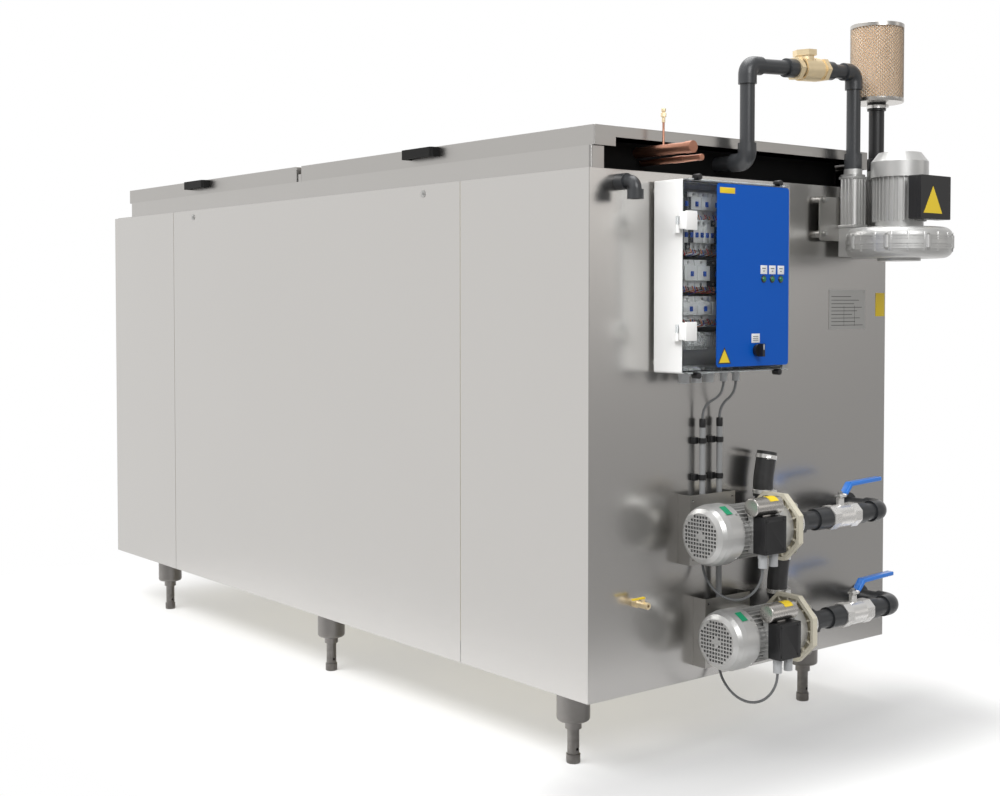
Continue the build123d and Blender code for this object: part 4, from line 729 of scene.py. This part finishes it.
# ------------------------------------------------------------------ pumps
def make_pump_trim():
    """Screws, stickers, casing rings and hose end clamps on both pumps."""
    screws, green, yellow, rings, clamps = (bmesh.new() for _ in range(5))
    for name in PUMPS:
        for count in range(4):
            angle = math.radians(45 + 90 * count)
            x, z = 84 * math.cos(angle), 84 * math.sin(angle)
            put_bolt(screws, on_pump(name, x, 299, z), REAR, 10, 6)
            x, z = 77 * math.cos(angle), 77 * math.sin(angle)
            put_bolt(screws, on_pump(name, x, 72, z), Vector((math.cos(angle), 0, math.sin(angle))), 6, 3)
        for y in (120, 190):
            for z in (-45, 45):
                put_bolt(screws, on_pump(name, -78, y, z), -UP if z < 0 else UP, 9, 5)
        put_bolt(screws, on_pump(name, 0, stem_y(), 63), UP, 10, 5)
        angle = math.radians(58)
        way = Vector((math.cos(angle), 0, math.sin(angle)))
        patch = bmesh.new()
        put_slab(patch, (PUMP_AXIS - 16, PUMP_AXIS + 16), (PUMPS[name][0] + 38, PUMPS[name][0] + 60),
                 (PUMPS[name][1] + 80.1, PUMPS[name][1] + 80.5))
        bmesh.ops.rotate(patch, verts=patch.verts[:], cent=on_pump(name, 0, 0, 0),
                         matrix=Matrix.Rotation(math.atan2(way.x, way.z), 3, "Y"))
        spare = bpy.data.meshes.new("patch")
        patch.to_mesh(spare)
        green.from_mesh(spare)
        patch.free()
        for turn in (-14, 8, 30):
            patch = bmesh.new()
            put_slab(patch, (PUMP_AXIS + 72.2, PUMP_AXIS + 81.8), (PUMPS[name][0] + 158, PUMPS[name][0] + 190),
                     (PUMPS[name][1] + 73 + 24.1, PUMPS[name][1] + 73 + 24.5))
            bmesh.ops.rotate(patch, verts=patch.verts[:], cent=on_pump(name, 77, 0, 73),
                             matrix=Matrix.Rotation(math.radians(turn + 14), 3, "Y"))
            patch.to_mesh(spare)
            yellow.from_mesh(spare)
            patch.free()
        lean = Vector((0, 16, 76)).normalized()
        ring_foot = on_pump(name, -76, 328.6 + 16, 190) - lean * 20 * MM
        put_turned(clamps, ring_foot, lean, [(0, 27.6), (0, 29.4), (11, 29.4), (11, 27.6)], 40)
        put_bar(clamps, ring_foot + Vector((20, -22, 5)) * MM, ring_foot + Vector((26, -12, 6)) * MM, 5)
        put_turned(rings, on_pump(name, 0, 365, 0), REAR,
                   [(0, 30), (0, 35.5), (3, 36.5), (6, 35.5), (6, 30)])
    add_piece("pump_screws", screws, "plate_metal", "tank")
    add_piece("fan_cover_stickers", green, "label_green", "tank", bevel=0)
    add_piece("capacitor_stickers", yellow, "label_yellow", "tank")
    add_piece("casing_rings", rings, "polished", "tank")
    add_piece("hose_end_clamps", clamps, "polished", "tank")


def stem_y():
    """The ball valve's stem along the shaft, from the fan cover's face."""
    return 507 + 121 / 2


def make_lever_grips():
    """Blue dipped sleeves on the valve levers."""
    stem = stem_y()
    below = [(stem + 20, 57.2), (stem + 43, 81.2), (stem + 175.5, 86.2)]
    above = [(stem + 175.5, 97.8), (stem + 36, 92.6), (stem + 12, 64)]
    for name in PUMPS:
        bm = bmesh.new()
        outline = [bm.verts.new(on_pump(name, -11.6, y, z)) for y, z in below + above]
        face = bm.faces.new(outline)
        pulled = bmesh.ops.extrude_face_region(bm, geom=[face])["geom"]
        moved = [part for part in pulled if isinstance(part, bmesh.types.BMVert)]
        bmesh.ops.translate(bm, verts=moved, vec=OUT * 23.2 * MM)
        bmesh.ops.recalc_face_normals(bm, faces=bm.faces[:])
        bmesh.ops.bevel(bm, geom=bm.edges[:], offset=2.6 * MM, segments=3, profile=0.5, affect="EDGES",
                        material=-1)
        add_piece(f"lever_grip_{name}", bm, "lever_blue", f"valve_lever_{name}")


make_pump_trim()
make_lever_grips()


# ------------------------------------------------------------------ blower and filter
BLOWER_X, BLOWER_Y = 174, 1034
FILTER_X, FILTER_Y, FILTER_Z, FILTER_RADIUS = 53, 1088, (1793, 2020), 77


def make_blower_trim():
    """Flange bolts, ribs on the volute, the silencers' ribs and a label."""
    bolts, ribs, label = bmesh.new(), bmesh.new(), bmesh.new()
    for count in range(8):
        angle = math.radians(22.5 + 45 * count)
        x, y = BLOWER_X + 144 * math.cos(angle), BLOWER_Y + 144 * math.sin(angle)
        put_bolt(bolts, at(x, y, 1396), UP, 9, 5)
        put_bolt(bolts, at(x, y, 1362), -UP, 9, 5)
    for y in (888, 1180):
        for z in (1407, 1504):
            put_bolt(bolts, at(26, y, z), OUT, 12, 7)
    for side_y in (980, 1088):
        put_slab(ribs, (53 - 30, 53 + 30), (side_y - 30, side_y + 30), (1424.5, 1434), 2)
        put_slab(ribs, (53 - 29, 53 + 29), (side_y - 29, side_y + 29), (1564, 1572), 2)
        for shift in (-19, -6, 6, 19):
            put_slab(ribs, (53 + 26, 53 + 30.5), (side_y + shift - 1.5, side_y + shift + 1.5), (1434, 1565), 0.6)
            put_slab(ribs, (53 + shift - 1.5, 53 + shift + 1.5), (side_y - 30.5, side_y - 26), (1434, 1565), 0.6)
    for count in range(20):
        angle = math.radians(18 * count + 9)
        spot = Vector((math.cos(angle), math.sin(angle), 0)) * 143.6 * MM
        put_bar(ribs, at(BLOWER_X, BLOWER_Y, 1352) + spot, at(BLOWER_X, BLOWER_Y, 1406) + spot, 5, sides=10, soft=1)
    for z in (1359, 1366, 1387, 1394):
        put_turned(ribs, at(BLOWER_X, BLOWER_Y, z), UP, [(0, 140), (0, 148.4), (4, 148.4), (4, 140)], 96)
    for count in range(24):
        angle = math.radians(15 * count + 7.5)
        way = Vector((math.cos(angle), math.sin(angle), 0))
        foot = at(BLOWER_X, BLOWER_Y, 1417)
        put_bar(ribs, foot + way * 84 * MM, foot + way * 132 * MM, 4, 3, sides=8)
    put_slab(label, (BLOWER_X + 20, BLOWER_X + 52), (BLOWER_Y - 12, BLOWER_Y + 12), (1634, 1634.4))
    put_triangle(label, at(292, 1024, 1483), 0.5, 50)
    add_piece("blower_bolts", bolts, "plate_metal", "tank")
    add_piece("blower_ribs", ribs, "cast_alloy", "tank")
    add_piece("blower_labels", label, "label_yellow", "tank")


def make_filter():
    """A pleated paper drum behind a diamond mesh, between two pressed caps, on a black pipe."""
    foot = at(FILTER_X, FILTER_Y, FILTER_Z[0])
    tall = FILTER_Z[1] - FILTER_Z[0]
    bm = bmesh.new()
    folds = 72
    ring = []
    for count in range(folds * 2):
        angle = math.tau * count / (folds * 2)
        radius = (FILTER_RADIUS - 3 if count % 2 else FILTER_RADIUS - 9) * MM
        ring.append(bm.verts.new(foot + Vector((math.cos(angle), math.sin(angle), 0)) * radius + UP * 6 * MM))
    edges = [bm.edges.new(pair) for pair in zip(ring, ring[1:] + ring[:1])]
    pulled = bmesh.ops.extrude_edge_only(bm, edges=edges)["geom"]
    top = [part for part in pulled if isinstance(part, bmesh.types.BMVert)]
    bmesh.ops.translate(bm, verts=top, vec=UP * (tall - 12) * MM)
    bmesh.ops.holes_fill(bm, edges=bm.edges[:], sides=0)
    bmesh.ops.recalc_face_normals(bm, faces=bm.faces[:])
    add_piece("filter_paper", bm, "paper", "tank", instead=["air_filter"], smooth=False)

    bm = bmesh.new()
    strips, steps = 46, 20
    for way in (-1, 1):
        for count in range(strips):
            start = math.tau * count / strips
            places = []
            for step in range(steps + 1):
                angle = start + way * math.tau / strips * step
                spot = Vector((math.cos(angle), math.sin(angle), 0)) * (FILTER_RADIUS - 1.2) * MM
                places.append(foot + spot + UP * (8 + (tall - 16) * step / steps) * MM)
            for low, high in zip(places, places[1:]):
                put_bar(bm, low, high, 0.8, sides=3)
    add_piece("filter_mesh", bm, "mesh_metal", "tank", instead=["air_filter"])

    bm = bmesh.new()
    low_cap = [(-1, 20), (-1, 66), (0, FILTER_RADIUS - 1), (2, FILTER_RADIUS), (11, FILTER_RADIUS),
               (12, FILTER_RADIUS - 2), (4, FILTER_RADIUS - 4), (3, 20)]
    put_turned(bm, foot, UP, low_cap, 72)
    top_cap = [(tall, 0), (tall, 56), (tall - 3, 60), (tall - 3, 66), (tall, FILTER_RADIUS - 3),
               (tall - 2, FILTER_RADIUS), (tall - 12, FILTER_RADIUS), (tall - 13, FILTER_RADIUS - 2),
               (tall - 7, FILTER_RADIUS - 4), (tall - 7, 0)]
    put_turned(bm, foot, UP, top_cap, 72)
    add_piece("filter_caps", bm, "mesh_metal", "tank", instead=["air_filter"])

    bm = bmesh.new()
    low = at(FILTER_X, FILTER_Y, 1594)
    height = FILTER_Z[0] - 1594
    outline = [(0, 19), (0, 26), (30, 26), (36, 25), (37, 22.2), (height - 24, 22.2),
               (height - 22, 27), (height + 1, 27), (height + 1, 19)]
    put_turned(bm, low, UP, outline)
    add_piece("intake_pipe", bm, "black_plastic", "tank", instead=["air_filter"])

    bm = bmesh.new()
    put_turned(bm, low + UP * (height - 16) * MM, UP, [(0, 27.1), (0, 28.6), (9, 28.6), (9, 27.1)])
    put_slab(bm, (FILTER_X + 26, FILTER_X + 38), (FILTER_Y - 6, FILTER_Y + 6),
             (FILTER_Z[0] - 16, FILTER_Z[0] - 7), 1)
    add_piece("filter_clamp", bm, "polished", "tank")


make_blower_trim()
make_filter()


# ------------------------------------------------------------------ labels on the end face
def make_end_labels():
    """A plain rating plate's ruled lines and a plain yellow label."""
    lines, yellow = bmesh.new(), bmesh.new()
    for count in range(9):
        z = 1142 + count * 10.5
        put_slab(lines, (1.0, 1.15), (952, 1100 - (count * 37) % 60), (z, z + 1.6))
    for y in (1010, 1060):
        put_slab(lines, (1.0, 1.15), (y, y + 1), (1140, 1200))
    put_slab(yellow, (0.1, 0.6), (1162, 1206), (1168, 1238), 0.2)
    add_piece("rating_plate_lines", lines, "label_ink", "tank")
    add_piece("end_label", yellow, "label_yellow", "tank")


make_end_labels()


# ------------------------------------------------------------------ floor, backdrop and light
def make_floor_finish():
    """A matt white floor with painted shade: grey under and just past the equipment end, a little greyer all round the
    machine and whiter further out; it fades out a little way from the machine.
    """
    material = finish_of("floor", (0.93, 0.93, 0.93), (0.9, 0.9, 0.9), rough=(0.75, 0.85),
                         patch=(1.0, 0.05), grain=(50, 0.02))
    tree = material.node_tree
    place = tree.nodes.new("ShaderNodeTexCoord")
    split = tree.nodes.new("ShaderNodeSeparateXYZ")
    tree.links.new(place.outputs["Object"], split.inputs[0])
    squares = []
    for label, half in (("X", 1.5), ("Y", 0.62)):
        size = math_node(tree, "ABSOLUTE", split.outputs[label], 0)
        past = math_node(tree, "MAXIMUM", math_node(tree, "SUBTRACT", size, half), 0)
        squares.append(math_node(tree, "MULTIPLY", past, past))
    away = math_node(tree, "SQRT", math_node(tree, "ADD", *squares), 0)
    # painted shade: within 0.42 m of the machine the floor keeps the greyer shade, further out it turns plain white
    painted_shade_falloff = tree.nodes.new("ShaderNodeMapRange")
    painted_shade_falloff.interpolation_type = "SMOOTHSTEP"
    painted_shade_falloff.inputs["From Min"].default_value, painted_shade_falloff.inputs["From Max"].default_value = 0.0, 0.42
    tree.links.new(away, painted_shade_falloff.inputs["Value"])
    # painted shade: the floor turns dark grey from 1.0 to 1.35 m along x, under and past the equipment end, which also
    # darkens the end panel's reflection of it
    painted_end_shade = tree.nodes.new("ShaderNodeMapRange")
    painted_end_shade.interpolation_type = "SMOOTHSTEP"
    painted_end_shade.inputs["From Min"].default_value, painted_end_shade.inputs["From Max"].default_value = 1.0, 1.35
    tree.links.new(split.outputs["X"], painted_end_shade.inputs["Value"])
    shade = blend_colours(tree, painted_end_shade.outputs[0], (0.93, 0.93, 0.93, 1), (0.42, 0.42, 0.42, 1))
    tree.links.new(blend_colours(tree, painted_shade_falloff.outputs[0], shade, (0.96, 0.96, 0.96, 1)),
                   tree.nodes["Principled BSDF"].inputs["Base Color"])
    fade = tree.nodes.new("ShaderNodeMapRange")
    fade.interpolation_type = "SMOOTHSTEP"
    fade.inputs["From Min"].default_value, fade.inputs["From Max"].default_value = 0.15, 0.95
    fade.inputs["To Min"].default_value = 0.42
    tree.links.new(away, fade.inputs["Value"])
    clear = tree.nodes.new("ShaderNodeBsdfTransparent")
    mix = tree.nodes.new("ShaderNodeMixShader")
    tree.links.new(fade.outputs[0], mix.inputs[0])
    tree.links.new(tree.nodes["Principled BSDF"].outputs[0], mix.inputs[1])
    tree.links.new(clear.outputs[0], mix.inputs[2])
    tree.links.new(mix.outputs[0], tree.nodes["Material Output"].inputs["Surface"])
    return material


def make_stage():
    """A pale floor, a light surround and soft lamps."""
    bm = bmesh.new()
    bmesh.ops.create_grid(bm, x_segments=1, y_segments=1, size=5)
    mesh = bpy.data.meshes.new("floor")
    bm.to_mesh(mesh)
    bm.free()
    floor = bpy.data.objects.new("floor", mesh)
    bpy.context.collection.objects.link(floor)
    mesh.materials.append(make_floor_finish())

    world = bpy.data.worlds.new("surround")
    bpy.context.scene.world = world
    world.use_nodes = True
    tree = world.node_tree
    back = tree.nodes["Background"]
    place = tree.nodes.new("ShaderNodeTexCoord")
    split = tree.nodes.new("ShaderNodeSeparateXYZ")
    tree.links.new(place.outputs["Generated"], split.inputs[0])
    ramp = tree.nodes.new("ShaderNodeValToRGB")
    ramp.color_ramp.elements[0].position, ramp.color_ramp.elements[0].color = 0.25, (1.0, 0.99, 0.98, 1)
    ramp.color_ramp.elements[1].position, ramp.color_ramp.elements[1].color = 0.75, (0.40, 0.395, 0.39, 1)
    sideways = math_node(tree, "ADD", math_node(tree, "MULTIPLY", split.outputs["X"], 0.5), 0.5)
    tree.links.new(sideways, ramp.inputs[0])
    aim = tree.nodes.new("ShaderNodeVectorMath")
    aim.operation = "DOT_PRODUCT"
    aim.inputs[1].default_value = Vector((0.74, 0.65, 0.16)).normalized()
    tree.links.new(place.outputs["Generated"], aim.inputs[0])
    glow = tree.nodes.new("ShaderNodeMapRange")
    glow.interpolation_type = "SMOOTHSTEP"
    glow.inputs["From Min"].default_value, glow.inputs["From Max"].default_value = 0.975, 0.9995
    glow.inputs["To Max"].default_value = 0.9
    tree.links.new(aim.outputs["Value"], glow.inputs["Value"])
    lit = blend_colours(tree, glow.outputs[0], ramp.outputs[0], (1.4, 1.35, 1.3, 1))
    seen = tree.nodes.new("ShaderNodeLightPath")
    tree.links.new(
        blend_colours(tree, seen.outputs["Is Camera Ray"], lit, (1.0, 1.0, 1.0, 1)),
        back.inputs["Color"],
    )
    back.inputs["Strength"].default_value = 1.0

    def soft_lamp(name, place, aim, size, power):
        data = bpy.data.lights.new(name, "AREA")
        data.shape, data.size, data.size_y, data.energy = "RECTANGLE", size[0], size[1], power
        lamp = bpy.data.objects.new(name, data)
        lamp.location = place
        lamp.rotation_euler = (Vector(aim) - Vector(place)).to_track_quat("-Z", "Y").to_euler()
        bpy.context.collection.objects.link(lamp)
        return lamp

    front = soft_lamp("front_light", (0.4, -4.0, 5.0), (0.4, -0.2, 0.8), (4.5, 2.5), 330)
    front.visible_glossy = False
    soft_lamp("end_light", (5.0, -1.6, 3.6), (1.4, 0.2, 1.0), (2.2, 2.2), 110)
    soft_lamp("top_light", (0.3, 0.3, 5.2), (0, 0, 0), (4.5, 3.0), 170)


make_stage()
scene = bpy.context.scene
scene.view_settings.view_transform = "Standard"
